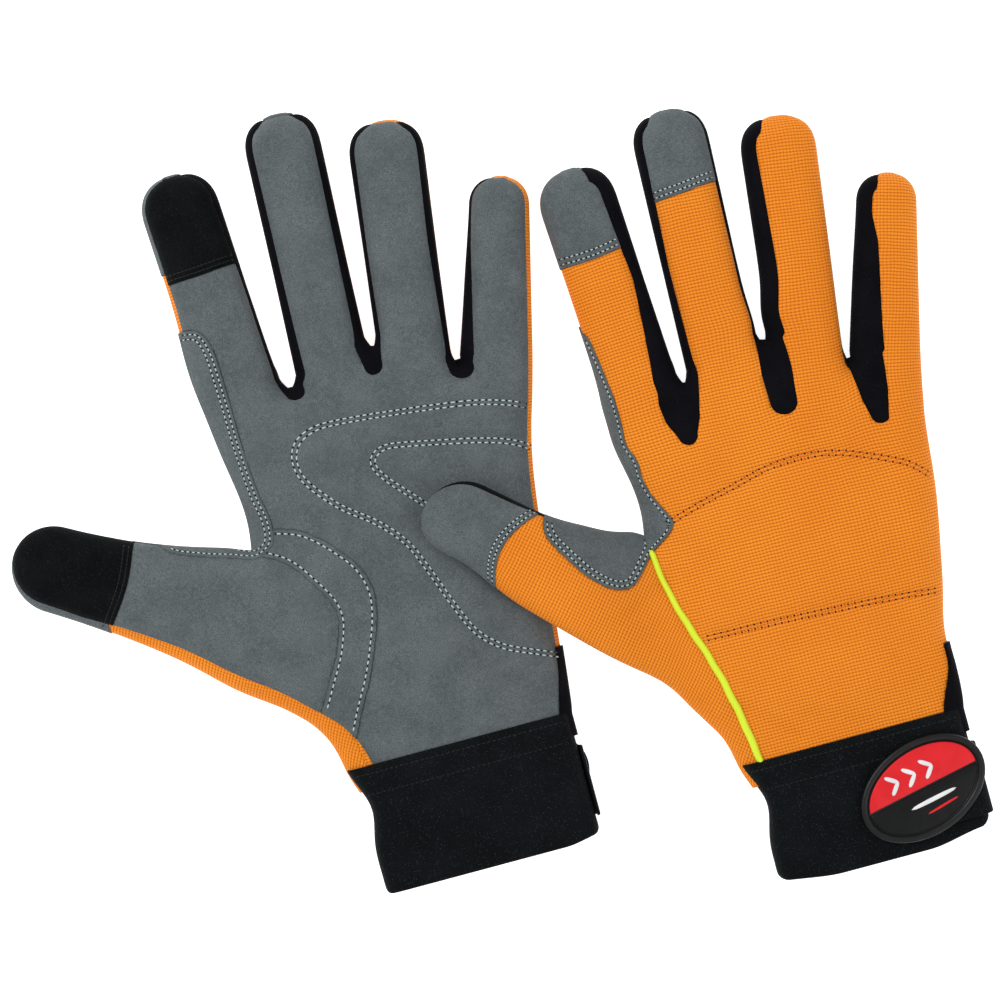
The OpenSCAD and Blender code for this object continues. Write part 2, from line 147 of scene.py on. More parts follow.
# Fingertip patches: how far each reaches back from the tip, how much its edge bows and how far it tilts
CAPS = {INDEX: (30.2, 1.2, 0.05), MIDDLE: (27.4, 0.3, 0.13)}
INDEX_TOUCH = (34, 0.6)
THUMB_TOUCH = (37.5, 1.4)
THUMB_CAP = (32.5, 27.6)   # one for each glove
THUMB_CAP_BOW = -4.6
THUMB_CAP_MIDDLE = -2      # the bow is deepest a little below the thumb's axis
THUMB_WIDTH = 14           # bows are given at these distances from the axis
FINGER_WIDTH = 12

BADGE_CENTRE = np.array([16.7, 20.2])
BADGE_SIZE = (21.75, 15.0)
BADGE_TILT = 20
DIVIDE_TILT = 12
HINGE_X = 38
TAB_Y = (7, 30)


# ---- Plan curves ----

def ray(degrees):
    """Unit vector in that direction."""
    return np.array([math.cos(math.radians(degrees)), math.sin(math.radians(degrees))])


def along(degrees):
    """Unit vector up a finger that leans by that angle."""
    return ray(degrees + 90)


def smooth(low, high, x):
    """0 below low, 1 above high and a soft ramp between them."""
    t = np.clip((np.asarray(x, float) - low) / (high - low), 0, 1)
    return t * t * (3 - 2 * t)


def line(a, b, n):
    t = np.linspace(0, 1, n + 1)[:, None]
    return np.asarray(a) * (1 - t) + np.asarray(b) * t


def bezier(a, b, c, d, n=16):
    t = np.linspace(0, 1, n + 1)[:, None]
    u = 1 - t
    a, b, c, d = (np.asarray(p) for p in (a, b, c, d))
    return u**3 * a + 3 * u * u * t * b + 3 * u * t * t * c + t**3 * d


def through(points, n=5):
    """A smooth curve through the points."""
    p = np.array(points, float)
    p = np.vstack([2 * p[0] - p[1], p, 2 * p[-1] - p[-2]])
    t = np.linspace(0, 1, n, endpoint=False)[:, None]
    parts = []
    for a, b, c, d in zip(p, p[1:], p[2:], p[3:]):
        low = 2 * b + (c - a) * t + (2 * a - 5 * b + 4 * c - d) * t**2
        parts.append(0.5 * (low + (3 * b - a - 3 * c + d) * t**3))
    return np.vstack(parts + [p[-2:-1]])


def resample(path, spacing):
    """Evenly spaced points along a path, and the direction at each."""
    steps = np.linalg.norm(np.diff(path, axis=0), axis=1)
    s = np.concatenate([[0], np.cumsum(steps)])
    at = np.linspace(0, s[-1], max(2, int(round(s[-1] / spacing)) + 1))
    points = np.stack([np.interp(at, s, path[:, k]) for k in range(path.shape[1])], 1)
    direction = np.gradient(points, axis=0)
    return points, direction / np.linalg.norm(direction, axis=1)[:, None]


def shifted(path, distance):
    """The path moved sideways, to its left."""
    points, direction = resample(path, 1.0)
    return points + distance * np.stack([-direction[:, 1], direction[:, 0]], 1)


def root(f):
    return np.array([ROOT_X[f], PALM_LENGTH - ROOT_DROP[f]])


def tip(f):
    return root(f) + along(SPLAY[f]) * (REACH[f] - TIP_HALF[f])


def finger_point(f, across, up):
    """A point in the frame of finger f, from its root."""
    return root(f) + across * ray(SPLAY[f]) + up * along(SPLAY[f])


def thumb_point(g, out, up):
    """A point in the frame of the thumb: out towards its tip, up towards the fingers."""
    return THUMB_BASE + out * ray(THUMB_ANGLE[g]) + up * ray(THUMB_ANGLE[g] - 90)


def root_side(f, s):
    return root(f) + s * ray(SPLAY[f]) * ROOT_HALF[f]


def tip_side(f, s):
    return tip(f) + s * ray(SPLAY[f]) * TIP_HALF[f]


def side_at(f, s, y):
    """Where the side of finger f reaches height y."""
    p, q = root_side(f, s), tip_side(f, s)
    return p + (q - p) * (y - p[1]) / (q[1] - p[1])


def notch(f):
    """The rounded gap between finger f and the next one, from right to left."""
    l, r = side_at(f, 1, CROTCH_Y[f]), side_at(f + 1, -1, CROTCH_Y[f])
    t = np.linspace(-1, 1, 13)
    down = NOTCH_DEPTH * (1 - np.abs(t) ** 1.5)
    return np.stack([(l[0] + r[0]) / 2 - (r[0] - l[0]) / 2 * t, CROTCH_Y[f] - down], 1)


def finger(f, y_right, y_left):
    """A finger's outline from its right side over the tip to its left side, with its seams."""
    turn = np.radians(np.linspace(0, 180, 33))
    c, s = np.cos(turn), np.sin(turn)
    blunt = BLUNT[f]
    sideways, forwards = (np.sign(c) * np.abs(c) ** blunt)[:, None], (np.abs(s) ** blunt)[:, None]
    over = tip(f) + TIP_HALF[f] * (sideways * ray(SPLAY[f]) + forwards * along(SPLAY[f]))
    right = line(side_at(f, 1, y_right), tip_side(f, 1), 30)[:-1]
    left = line(tip_side(f, -1), side_at(f, -1, y_left), 30)[1:]
    points = np.vstack([right, over, left])
    across = np.concatenate([np.ones(len(right)), c, -np.ones(len(left))])
    mid, half = np.zeros(len(points)), np.zeros(len(points))
    for side in (1, -1):
        here = across * side >= 0
        up = (points[here] - root(f)) @ along(SPLAY[f])
        taper = smooth(0.05, 0.6, np.abs(across[here]))
        if (f, side) in STRIP:
            back, palm = (np.interp(up, (14, 50, REACH[f] - 14), w[::-1]) for w in STRIP[f, side])
            mid[here] = (back - palm) / 2 * taper - 0.8 * (1 - taper)
            half[here] = (back + palm) / 2 * taper - 0.5 * (1 - taper)
        else:
            mid[here] = -1.2 * taper - 0.8 * (1 - taper)
            half[here] = -taper - 0.5 * (1 - taper)
    return points, mid, half


def thumb_edge(g):
    """The thumb's outline from its crotch over the tip to the heel, with its seam."""
    a = THUMB_ANGLE[g]
    c = thumb_point(g, THUMB_LENGTH, 0)
    q = c + THUMB_HALF * ray(a - 90)
    e = c - THUMB_HALF * ray(a - 90)
    upper = bezier(CROTCH, CROTCH + [-18, 5], q - 20 * ray(a), q, 30)[1:]
    over = np.array([c + THUMB_HALF * ray(a - 90 + t) for t in np.linspace(0, 180, 31)])[1:-1]
    lower = bezier(e, e - 25 * ray(a), HEEL + [-16, 15], HEEL, 40)
    points = np.vstack([upper, over, lower])
    mid = np.concatenate([
        np.interp(np.linspace(0, 1, len(upper)), [0, 0.5, 0.75, 1], [-1, 0.0, 0.9, 1.2]),
        np.interp(np.linspace(0, 1, len(over)), [0, 0.35, 1], [1.2, 0.2, -2.2]),
        np.interp(np.linspace(0, 1, len(lower)), [0, 0.15, 0.5, 0.8, 1], [-2.2, -1.8, -4.2, -4.8, -4.4]),
    ])
    return points, mid, np.full(len(points), -1.0)


def outline(g):
    """The glove's plan with, at each point, where the side seam runs and half the width of a black strip.
    The seam's place is positive towards the back."""
    parts = []

    def plain(points, mid):
        parts.append((points, np.broadcast_to(mid, len(points)).astype(float), np.full(len(points), -1.0)))

    p = root_side(LITTLE, 1)
    plain(np.array([WRIST_RIGHT - [0.2, 16], WRIST_RIGHT - [0.2, 0]]), -1.2)
    plain(bezier(WRIST_RIGHT, WRIST_RIGHT + [4.5, 34], p - 26 * along(SPLAY[LITTLE]), p, 40)[1:-1], -1.2)
    parts.append(finger(LITTLE, p[1], CROTCH_Y[RING]))
    for f in (RING, MIDDLE, INDEX):
        gap = notch(f)[1:-1]
        y_left = CROTCH_Y[f - 1] if f > INDEX else root_side(INDEX, -1)[1]
        before, after = parts[-1], finger(f, CROTCH_Y[f], y_left)
        share = np.linspace(0, 1, len(gap))
        mid = np.interp(share, (0, 0.4, 0.6, 1), (before[1][-1], 0, 0, after[1][0]))
        half = np.interp(share, (0, 0.4, 0.6, 1), (before[2][-1], 1.2, 1.2, after[2][0]))
        parts += [(gap, mid, half), after]
    p = root_side(INDEX, -1)
    plain(bezier(p, p - 12 * along(SPLAY[INDEX]), CROTCH + [2.5, 11], CROTCH, 20)[1:], -1.2)
    parts.append(thumb_edge(g))
    heel = bezier(HEEL, HEEL + [4, -4], WRIST_LEFT + [0, 10], WRIST_LEFT, 14)[1:]
    plain(heel, np.linspace(-4.4, -9.5, len(heel)))
    plain(np.array([WRIST_LEFT - [-0.6, 16]]), -9.5)
    return [np.concatenate([part[k] for part in parts]) for k in range(3)]


# The seams and patches, each drawn once for both gloves

def thenar_seam():
    """Between the thumb and the palm."""
    return through([(-47, 116), (-38.3, 110.2), (-32.7, 102.8), (-28.4, 95.5), (-27.2, 90), (-28.3, 84.9),
                    (-31, 78), (-35.6, 70), (-39.7, 62.7), (-45.5, 53)])


def thenar_outer():
    """The crescent's edge on the palm."""
    return through([(-41, 122.6), (-31.6, 119.3), (-24, 113), (-17, 104.5), (-14.3, 96.2), (-15, 88),
                    (-18.4, 78), (-22.6, 68.3), (-27.5, 59.5), (-32, 50.6), (-37, 41), (-40, 36)])


def thenar_plan():
    """The crescent that doubles the palm around the ball of the thumb."""
    return np.vstack([thenar_seam(), thenar_outer()[::-1]])


def piping_line():
    """Between the thumb and the back."""
    return bezier((-48, 114), (-46.5, 94), (-32.4, 72), (-30.9, 37), 40)


def crotch_border(g, side):
    """The inner border of the saddle patch, from beside the index finger to the thumb's upper edge."""
    if side == BACK:
        hand = [(-54, 191), (-49.4, 187), (-47.8, 179.5), (-46.4, 171.5), (-44.8, 164), (-43.8, 156),
                (-43.9, 150), (-42.4, 144), (-43.1, 138.9), (-42.5, 133.7), (-40.3, 128), (-38.2, 123),
                (-39.9, 119.6), (-45.4, 115), (-48.5, 112.6)]
        thumb = [thumb_point(g, *p) for p in ((11.7, 7.7), (14.5, 3.9), (19.3, 2.4), (24.8, 2.5), (30, 3.3),
                                              (37.9, 5.6), (42.6, 7.4), (45.4, 9.6), (47.2, 13.3), (48, 19))]
    else:
        hand = [(-54, 191), (-45.6, 189.6), (-42.8, 187.4), (-41, 183.5), (-40, 177), (-39.9, 165),
                (-40.4, 148), (-40.6, 134), (-39.8, 126.7), (-40.2, 120.4), (-42, 117)]
        thumb = [thumb_point(g, *p) for p in ((7.8, 22.4), (14.1, 20.4), (20.3, 18.4), (26.6, 17), (32, 16),
                                              (37, 16.2), (41, 18.5), (45.5, 23))]
    return through(hand + thumb)


def crotch_plan(g, side):
    return np.vstack([crotch_border(g, side), [thumb_point(g, 48, 40), (-75, 191)]])


def palm_c_outer():
    """The outer C of the palm's stitching."""
    return through([(49, 138.5), (40, 142.2), (26, 145.6), (5, 148.2), (-13, 149.8), (-20, 149.2),
                    (-24.6, 145.6), (-26.4, 140), (-25, 133.5), (-18, 124), (-7.5, 115.6), (0, 107),
                    (4.6, 96.6), (9.4, 83.8), (14, 74), (21, 67.4), (31, 62.8), (42, 58)])


def palm_c_inner():
    """The inner C."""
    return through([(49, 124), (40, 129.4), (27, 133.3), (6, 137.7), (0, 137.9), (-3.2, 136), (-3.8, 133),
                    (-0.5, 127.6), (8.9, 117), (15, 107.5), (19, 97), (23.5, 87.5), (31, 80.5), (42, 76.6)])


def knuckle_seam():
    """Across the knuckles on the back."""
    return through([(-40, 122.4), (-27.4, 126), (-16.4, 128.5), (-5.5, 131.2), (3, 132), (11, 131.7),
                    (19, 129.9), (25.5, 127.4), (32.4, 124.2), (38, 120.8), (46, 112.5)])


def mid_back_seam():
    """Across the middle of the back."""
    return through([(-37, 84), (-18, 83.6), (1, 82.6), (22, 81.4), (41, 79.4)])


# ---- Distances ----

REACH_OUT = 14      # distances matter only this near a curve


def nearest(points, path, closed=False):
    """(distance, segment, share along it) of the nearest place on a path to each point.
    Points far outside the path's box get a large distance and the first segment."""
    path = np.vstack([path, path[:1]]) if closed else np.asarray(path)
    close = ((points[:, :2] > path.min(0) - REACH_OUT) & (points[:, :2] < path.max(0) + REACH_OUT)).all(1)
    if not close.all():
        distance, share = np.full(len(points), 2.0 * REACH_OUT), np.zeros(len(points))
        segment = np.zeros(len(points), int)
        if close.any():
            distance[close], segment[close], share[close] = nearest(points[close], path)
        return distance, segment, share
    a, step = path[:-1], np.diff(path, axis=0)
    length2 = np.maximum((step**2).sum(1), 1e-12)
    distance, segment, share = np.empty(len(points)), np.empty(len(points), int), np.empty(len(points))
    for i in range(0, len(points), 4000):
        rel = points[i:i + 4000, None, :2] - a
        t = np.clip((rel * step).sum(2) / length2, 0, 1)
        gap = rel - t[..., None] * step
        d2 = (gap**2).sum(2)
        best = d2.argmin(1)
        row = np.arange(len(best))
        distance[i:i + 4000] = np.sqrt(d2[row, best])
        segment[i:i + 4000] = best
        share[i:i + 4000] = t[row, best]
    return distance, segment, share


def inside(points, plan):
    """Whether each point is inside a closed plan."""
    found = np.zeros(len(points), bool)
    for a, b in zip(plan, np.roll(plan, -1, axis=0)):
        if a[1] == b[1]:
            continue
        crosses = (a[1] > points[:, 1]) != (b[1] > points[:, 1])
        x = a[0] + (points[:, 1] - a[1]) / (b[1] - a[1]) * (b[0] - a[0])
        found ^= crosses & (points[:, 0] < x)
    return found


def depth(points, plan):
    """How far each point is inside a closed plan, negative outside."""
    distance = nearest(points, plan, True)[0]
    return np.where(inside(points, plan), distance, -distance)


def half_thick(y):
    """The glove's half thickness, which is less inside the cuff."""
    return CUFF_HALF_THICK + (HALF_THICK - CUFF_HALF_THICK) * smooth(38, 68, y)


def waves(points, size, seed, count=9):
    """Soft undulation between about -1 and 1, with swells of that size."""
    rng = np.random.default_rng(seed)
    total = np.zeros(len(points))
    for _ in range(count):
        k = rng.normal(size=points.shape[1])
        k *= 2 * math.pi / size * rng.uniform(0.6, 1.4) / np.linalg.norm(k)
        total += np.sin(points @ k + rng.uniform(0, 2 * math.pi))
    return total / math.sqrt(count)


# ---- Skin ----

def surface_net(field, origin, pitch):
    """Vertices and quads around the zero level of a grid of values, negative inside."""
    solid = field < 0
    count = sum(
        solid[i:i - 1 or None, j:j - 1 or None, k:k - 1 or None].astype(int)
        for i in (0, 1) for j in (0, 1) for k in (0, 1)
    )
    mixed = (count > 0) & (count < 8)
    number = np.full(mixed.shape, -1)
    number[mixed] = np.arange(mixed.sum())
    vertices = origin + (np.argwhere(mixed) + 0.5) * pitch
    quads = []
    for axis in range(3):
        n = np.moveaxis(number, axis, 0)
        s = np.moveaxis(solid, axis, 0)
        low, high = s[:-1, 1:-1, 1:-1], s[1:, 1:-1, 1:-1]
        ring = np.stack([n[:, :-1, :-1], n[:, 1:, :-1], n[:, 1:, 1:], n[:, :-1, 1:]], -1)
        for change, order in ((low & ~high, (0, 1, 2, 3)), (~low & high, (3, 2, 1, 0))):
            found = ring[change][:, order]
            quads.append(found if axis != 1 else found[:, ::-1])
    return vertices, np.vstack(quads)


class Skin:
    """The plan of one glove and the rounded surface around it."""

    def __init__(self, g):
        self.g = g
        self.plan, self.mid, self.half = outline(g)

    def measure(self, points):
        """Signed distance to the outline, its gradient, and the seam's middle and half width there."""
        distance, segment, share = nearest(points, self.plan, True)
        following = (segment + 1) % len(self.plan)
        place = self.plan[segment] * (1 - share[:, None]) + self.plan[following] * share[:, None]
        mid = self.mid[segment] * (1 - share) + self.mid[following] * share
        half = self.half[segment] * (1 - share) + self.half[following] * share
        sign = np.where(inside(points, self.plan), 1.0, -1.0)
        away = (points[:, :2] - place) * sign[:, None]
        return distance * sign, away / np.maximum(distance, 1e-9)[:, None], mid, half

    def settle(self, co, rounds=3):
        """Moves points on to the rounded surface."""
        d0, slope, _, _ = self.measure(co)
        start = co[:, :2].copy()
        for _ in range(rounds):
            d = d0 + ((co[:, :2] - start) * slope).sum(1)
            h = half_thick(co[:, 1])
            t = np.minimum(d / FLANK, 1)
            value = (co[:, 2] / h) ** 2 + (1 - t) ** 2 - 1
            pull = np.where(d < FLANK, -2 * (1 - t) / FLANK, 0)
            gradient = np.column_stack([slope * pull[:, None], 2 * co[:, 2] / h**2])
            co = co - gradient * (value / np.maximum((gradient**2).sum(1), 1e-6))[:, None]
        length = np.maximum(np.linalg.norm(gradient, axis=1), 1e-9)
        return co, gradient / length[:, None]


def base_mesh(skin):
    """The closed skin as triangles, open at the wrist, with what later steps need at each vertex."""
    low = np.array([skin.plan[:, 0].min() - 3, 33.0, -HALF_THICK - 2.1])
    high = np.array([skin.plan[:, 0].max() + 3, skin.plan[:, 1].max() + 3, HALF_THICK + 2.1])
    size = ((high - low) / PITCH).astype(int)
    x, y, z = (low[k] + PITCH * np.arange(size[k]) for k in range(3))
    gx, gy = np.meshgrid(x, y, indexing="ij")
    d = skin.measure(np.stack([gx.ravel(), gy.ravel()], 1))[0].reshape(gx.shape)
    t = np.minimum(d / FLANK, 1)
    field = (z / half_thick(gy)[..., None]) ** 2 + ((1 - t) ** 2)[..., None] - 1
    co, quads = surface_net(field, low, PITCH)
    edges = np.vstack([quads[:, [k, (k + 1) % 4]] for k in range(4)])
    for _ in range(3):
        co, _ = skin.settle(co, 2)
        total = np.zeros_like(co)
        for k in range(3):
            total[:, k] = np.bincount(edges[:, 0], co[edges[:, 1], k], len(co))
        count = np.bincount(edges[:, 0], minlength=len(co))
        co = np.where(count[:, None] > 3, 0.4 * co + 0.6 * total / np.maximum(count, 1)[:, None], co)
    co, normal = skin.settle(co, 4)
    diagonals = [np.linalg.norm(co[quads[:, k]] - co[quads[:, k + 2]], axis=1) for k in (0, 1)]
    flip = diagonals[0] > diagonals[1]
    quads[flip] = quads[flip][:, [1, 2, 3, 0]]
    tris = np.vstack([quads[:, [0, 1, 2]], quads[:, [0, 2, 3]]])
    d, slope, mid, half = skin.measure(co)
    d = np.maximum(d, 0)
    return {"tris": tris, "co": co, "normal": normal, "d": d, "slope": slope, "mid": mid, "half": half}


def split(part, value):
    """(above, below): the part cut along the line where value is zero."""
    value = np.where(np.abs(value) < 1e-5, 1e-5, value)
    tris, up = part["tris"], value > 0
    edges = np.sort(np.vstack([tris[:, [k, (k + 1) % 3]] for k in range(3)]), axis=1)
    crossing = up[edges[:, 0]] != up[edges[:, 1]]
    at = np.full(len(edges), -1)
    grown = {k: v for k, v in part.items() if k != "tris"}
    if crossing.any():
        cut, where = np.unique(edges[crossing], axis=0, return_inverse=True)
        t = value[cut[:, 0]] / (value[cut[:, 0]] - value[cut[:, 1]])
        at[crossing] = len(value) + where.ravel()
        for name, array in grown.items():
            share = t.reshape([-1] + [1] * (array.ndim - 1))
            grown[name] = np.concatenate([array, array[cut[:, 0]] * (1 - share) + array[cut[:, 1]] * share])
    at = at.reshape(3, -1).T
    count = up[tris].sum(1)
    sides = {True: [tris[count == 3]], False: [tris[count == 0]]}
    for k in range(3):
        a, b, c = tris[:, k], tris[:, (k + 1) % 3], tris[:, (k + 2) % 3]
        ab, ca = at[:, k], at[:, (k + 2) % 3]
        for lone in (True, False):
            pick = (count == (1 if lone else 2)) & (up[a] == lone)
            sides[lone].append(np.stack([a, ab, ca], 1)[pick])
            sides[not lone].append(np.stack([ab, b, c], 1)[pick])
            sides[not lone].append(np.stack([ab, c, ca], 1)[pick])
    return tuple(compact({**grown, "tris": np.vstack(sides[s])}) for s in (True, False))


def compact(part):
    """The part without vertices that no triangle uses."""
    used, tris = np.unique(part["tris"], return_inverse=True)
    kept = {k: v[used] for k, v in part.items() if k != "tris"}
    return {**kept, "tris": tris.reshape(-1, 3)}


def joined(parts):
    """Several parts as one."""
    names = [k for k in parts[0] if k != "tris"]
    starts = np.cumsum([0] + [len(p["co"]) for p in parts[:-1]])
    merged = {k: np.concatenate([p[k] for p in parts]) for k in names}
    return {**merged, "tris": np.vstack([p["tris"] + s for p, s in zip(parts, starts)])}


def finger_weights(co):
    """How much each point belongs to each finger, by its distance from the fingers' axes."""
    across = np.stack([np.abs((co[:, :2] - root(f)) @ ray(SPLAY[f])) for f in range(4)], 1)
    weight = np.exp(-across / 3.5)
    return weight / weight.sum(1)[:, None]


def finger_cut(f, across, length, bow, tilt=0.0):
    """How far up finger f the edge of its fingertip patch runs."""
    return REACH[f] - length + bow * (across / FINGER_WIDTH) ** 2 + tilt * across


def thumb_cut(across, length, bow, middle=0.0):
    """How far out along the thumb the edge of its tip patch runs."""
    return THUMB_LENGTH + THUMB_HALF - length + bow * ((across - middle) / THUMB_WIDTH) ** 2


def beyond(part, f, *cut):
    """Positive on finger f past the edge of its fingertip patch."""
    co = part["co"][:, :2] - root(f)
    across, up = co @ ray(SPLAY[f]), co @ along(SPLAY[f])
    others = [np.abs((part["co"][:, :2] - root(k)) @ ray(SPLAY[k])) for k in range(4) if k != f]
    lead = (np.min(others, axis=0) - np.abs(across)) / 2
    return np.minimum(up - finger_cut(f, across, *cut), lead)


def beyond_thumb(part, g, *cut):
    """Positive on the thumb past the edge of its tip patch."""
    co = part["co"][:, :2] - THUMB_BASE
    out, up = co @ ray(THUMB_ANGLE[g]), co @ ray(THUMB_ANGLE[g] - 90)
    return np.minimum(out - thumb_cut(up, *cut), 1.6 * THUMB_HALF - np.abs(up))


def side_fields(part):
    """The black strips' and webs' depth for each gap, and the side seam's field for the rest."""
    co, back = part["co"], part["co"][:, 2] > 0
    sigma = np.where(back, part["d"], -part["d"])
    strip = part["half"] - np.abs(sigma - part["mid"])
    strip = np.where(co[:, 1] > 140, strip, -5)
    gaps = []
    for f in (INDEX, MIDDLE, RING):
        field = strip.copy()
        for side, rows in WEBS.items():
            circles = np.array(rows[f])
            distance, segment, share = nearest(co, circles[:, :2])
            web = np.interp(segment + share, np.arange(len(circles)), circles[:, 2]) - distance
            rounded = 0.5 * (field + web + np.sqrt((field - web) ** 2 + 0.9))
            field = np.where(back == (side == BACK), np.where(co[:, 1] < 185, rounded, field), field)
        apart = np.minimum(
            (co[:, :2] - root(f)) @ ray(SPLAY[f]),
            -(co[:, :2] - root(f + 1)) @ ray(SPLAY[f + 1]),
        )
        gaps.append(np.minimum(field, apart))
    return gaps, sigma - part["mid"]


def lean(g, co):
    """How far each point moves across and along from the flat pattern, as the glove lies."""
    up = np.stack([(co[:, :2] - root(f)) @ along(SPLAY[f]) for f in range(4)], 1)
    shift = np.stack([np.interp(up[:, f], (0, REACH[f]), LEAN[g][f]) for f in range(4)], 1)
    fingers = (finger_weights(co) * shift).sum(1) * smooth(116, 158, co[:, 1])
    thumb = THUMB_LEAN[g] * smooth(42, 54, -co[:, 0]) * (1 - smooth(154, 166, co[:, 1]))
    thumb = thumb * smooth(62, 84, co[:, 1]) if g == RIGHT else thumb * smooth(60, 100, -co[:, 0])
    total = np.outer(fingers, (1, 0)) + np.outer(thumb, ray(THUMB_ANGLE[g] - 90))
    for x, y, reach, dx, dy in NUDGES[g]:
        near = np.exp(-((co[:, :2] - (x, y)) ** 2).sum(1) / reach**2)
        total += np.outer(near, (dx, dy))
    return total


def groove(field, width, deep):
    """A soft trough along the line where the field is zero."""
    return -deep * np.exp(-(field / width) ** 2)


def groove_along(co, curve, width, deep):
    return groove(nearest(co, curve)[0], width, deep)


def shape(part, g):
    """Presses the seams in, pads the palm and the back, and lets the fabric undulate."""
    co, back = part["co"], part["co"][:, 2] > 0
    gaps, seam = side_fields(part)
    strips = np.max(gaps, axis=0)
    push = groove(strips, 1.1, 0.55) + np.where(strips > -2.5, 0, groove(seam, 1.1, 0.45))
    flat = smooth(2, 9, part["d"])

    c_outer, c_inner = palm_c_outer(), palm_c_inner()
    palm_push = 1.0 * smooth(-0.5, 4.5, depth(co, np.vstack([c_outer, c_inner[::-1]])))
    palm_push += groove_along(co, c_outer, 1.5, 0.55) + groove_along(co, c_inner, 1.5, 0.55)
    crescent = smooth(-0.4, 1.6, depth(co, thenar_plan()))
    palm_push += 0.45 * crescent + groove_along(co, thenar_seam(), 1.2, 0.45)
    push += np.where(back, 0, palm_push * flat)

    knuckle, middle = knuckle_seam(), mid_back_seam()
    back_push = 0.8 * smooth(-0.5, 6, depth(co, np.vstack([knuckle, middle[::-1]])))
    back_push += groove_along(co, knuckle, 1.6, 0.6) + groove_along(co, middle, 1.6, 0.6)
    back_push += groove_along(co, piping_line(), 2.2, 0.8)
    push += np.where(back, back_push * flat, 0)

    soft = 0.45 * waves(co, 34, 5 + g) + 0.22 * waves(co, 13, 9 + g)
    push += 0.55 * soft * smooth(0, 60, co[:, 1] - 40) * flat
    push += wrinkles(co) * flat
    push += 0.5 * smooth(9, 30, part["d"])
    moved = co + part["normal"] * push[:, None]
    deepest = HALF_THICK - 0.02
    if g == RIGHT:
        moved[:, 2] = np.maximum(moved[:, 2], -deepest)
    else:
        moved[:, 2] = np.minimum(moved[:, 2], deepest)
    return {**part, "co": moved, "seam": seam, **{f"gap{f}": gaps[f] for f in range(3)}}


def wrinkles(co):
    """A few soft creases: beside the thumb's crotch, above the cuff and at the finger roots."""
    total = np.zeros(len(co))
    folds = (
        ((-34, 60), (-18, 46), 2.6, -0.8, BACK), ((28, 66), (38, 50), 2.4, -0.9, BACK),
        ((30, 74), (39, 60), 2.6, 0.5, BACK), ((-60, 96), (-44, 104), 3.2, -0.7, BACK),
        ((-12, 52), (4, 44), 3.0, -0.5, BACK), ((-56, 120), (-47, 128), 2.2, -0.5, PALM),
        ((22, 56), (36, 44), 3.0, -0.7, PALM), ((-20, 52), (-4, 44), 3.4, -0.5, PALM),
        ((-14, 141), (-4, 143), 3.2, -0.35, PALM), ((14, 152), (24, 150), 3.4, -0.35, PALM),
    )
    for a, b, width, height, side in folds:
        here = co[:, 2] * side > 0
        total += np.where(here, height * np.exp(-(nearest(co, line(a, b, 1))[0] / width) ** 2), 0)
    return total


def weave(part, g, thumb):
    """Where each vertex was in the flat cloth, in millimetres, so that the weave follows the panel."""
    quarter = np.linspace(0, FLANK, 60)
    height = HALF_THICK * np.sqrt(1 - (1 - quarter / FLANK) ** 2)
    arc = np.concatenate([[0], np.cumsum(np.hypot(np.diff(quarter), np.diff(height)))])
    extra = np.interp(part["d"], quarter, (arc[-1] - arc) - (FLANK - quarter))
    out = -part["slope"] * extra[:, None]
    co = part["co"][:, :2]

    def frame(origin, angle):
        return np.stack([(co - origin) @ axis + out @ axis for axis in (ray(angle), along(angle))], 1)

    if thumb:
        return frame(THUMB_BASE, THUMB_ANGLE[g] - 90)
    hand = frame(np.zeros(2), 0)
    weight = finger_weights(co)
    fingers = sum(weight[:, f, None] * (frame(root(f), SPLAY[f]) + root(f)) for f in range(4))
    share = smooth(118, 172, co[:, 1])[:, None]
    return hand * (1 - share) + fingers * share


# ---- From parts to Blender objects ----

def lift(g, co):
    """The right thumb climbs on to the left glove."""
    climb = smooth(-FOLD_X[0], -FOLD_X[1], -co[:, 0]) * (1 - smooth(156, 174, co[:, 1]))
    return THUMB_LIFT[g] * climb


def place(g, co):
    """Row coordinates, in metres, of points in a glove's own frame."""
    z = MID_HEIGHT + (co[:, 2] + lift(g, co) if g == RIGHT else -co[:, 2])
    plan = co[:, :2] + lean(g, co) + PLACE_AT[g]
    return np.column_stack([plan, np.maximum(z, 0.02)]) * MM


def make(name, g, co, faces, material, body=None, replaces=()):
    """A Blender mesh from points in a glove's frame. It rides on its body and stands for CAD nodes."""
    faces = [list(map(int, f)) for f in faces]
    if g == LEFT:
        faces = [f[::-1] for f in faces]
    mesh = bpy.data.meshes.new(name)
    mesh.from_pydata(place(g, np.asarray(co, float)).tolist(), [], faces)
    mesh.validate()
    mesh.update()
    mesh.shade_smooth()
    mesh.materials.append(material)
    obj = bpy.data.objects.new(name, mesh)
    bpy.context.scene.collection.objects.link(obj)
    if replaces:
        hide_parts(*[f"{SIDES[g]}_{n}" for n in replaces])
    if body is not None:
        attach(obj, f"{SIDES[g]}_{body}")
    return obj


def solidify(obj, thickness):
    """Thickens a sheet inwards by that many millimetres."""
    m = obj.modifiers.new("thickness", "SOLIDIFY")
    m.thickness = thickness * MM
    m.offset = -1


def panel(name, g, part, raised, material, replaces, thumb=False):
    """One sewn panel: the part of the skin, raised by its thickness over what lies under it."""
    co = part["co"] + part["normal"] * raised
    uv = weave(part, g, thumb)
    obj = make(f"{SIDES[g]}_{name}", g, co, part["tris"], material, "glove", replaces)
    attribute = obj.data.attributes.new("weave", "FLOAT_VECTOR", "POINT")
    flat = np.column_stack([uv, np.zeros(len(uv))]).astype(np.float32)
    attribute.data.foreach_set("vector", flat.ravel())
    solidify(obj, FABRIC + raised)


# ---- Materials ----

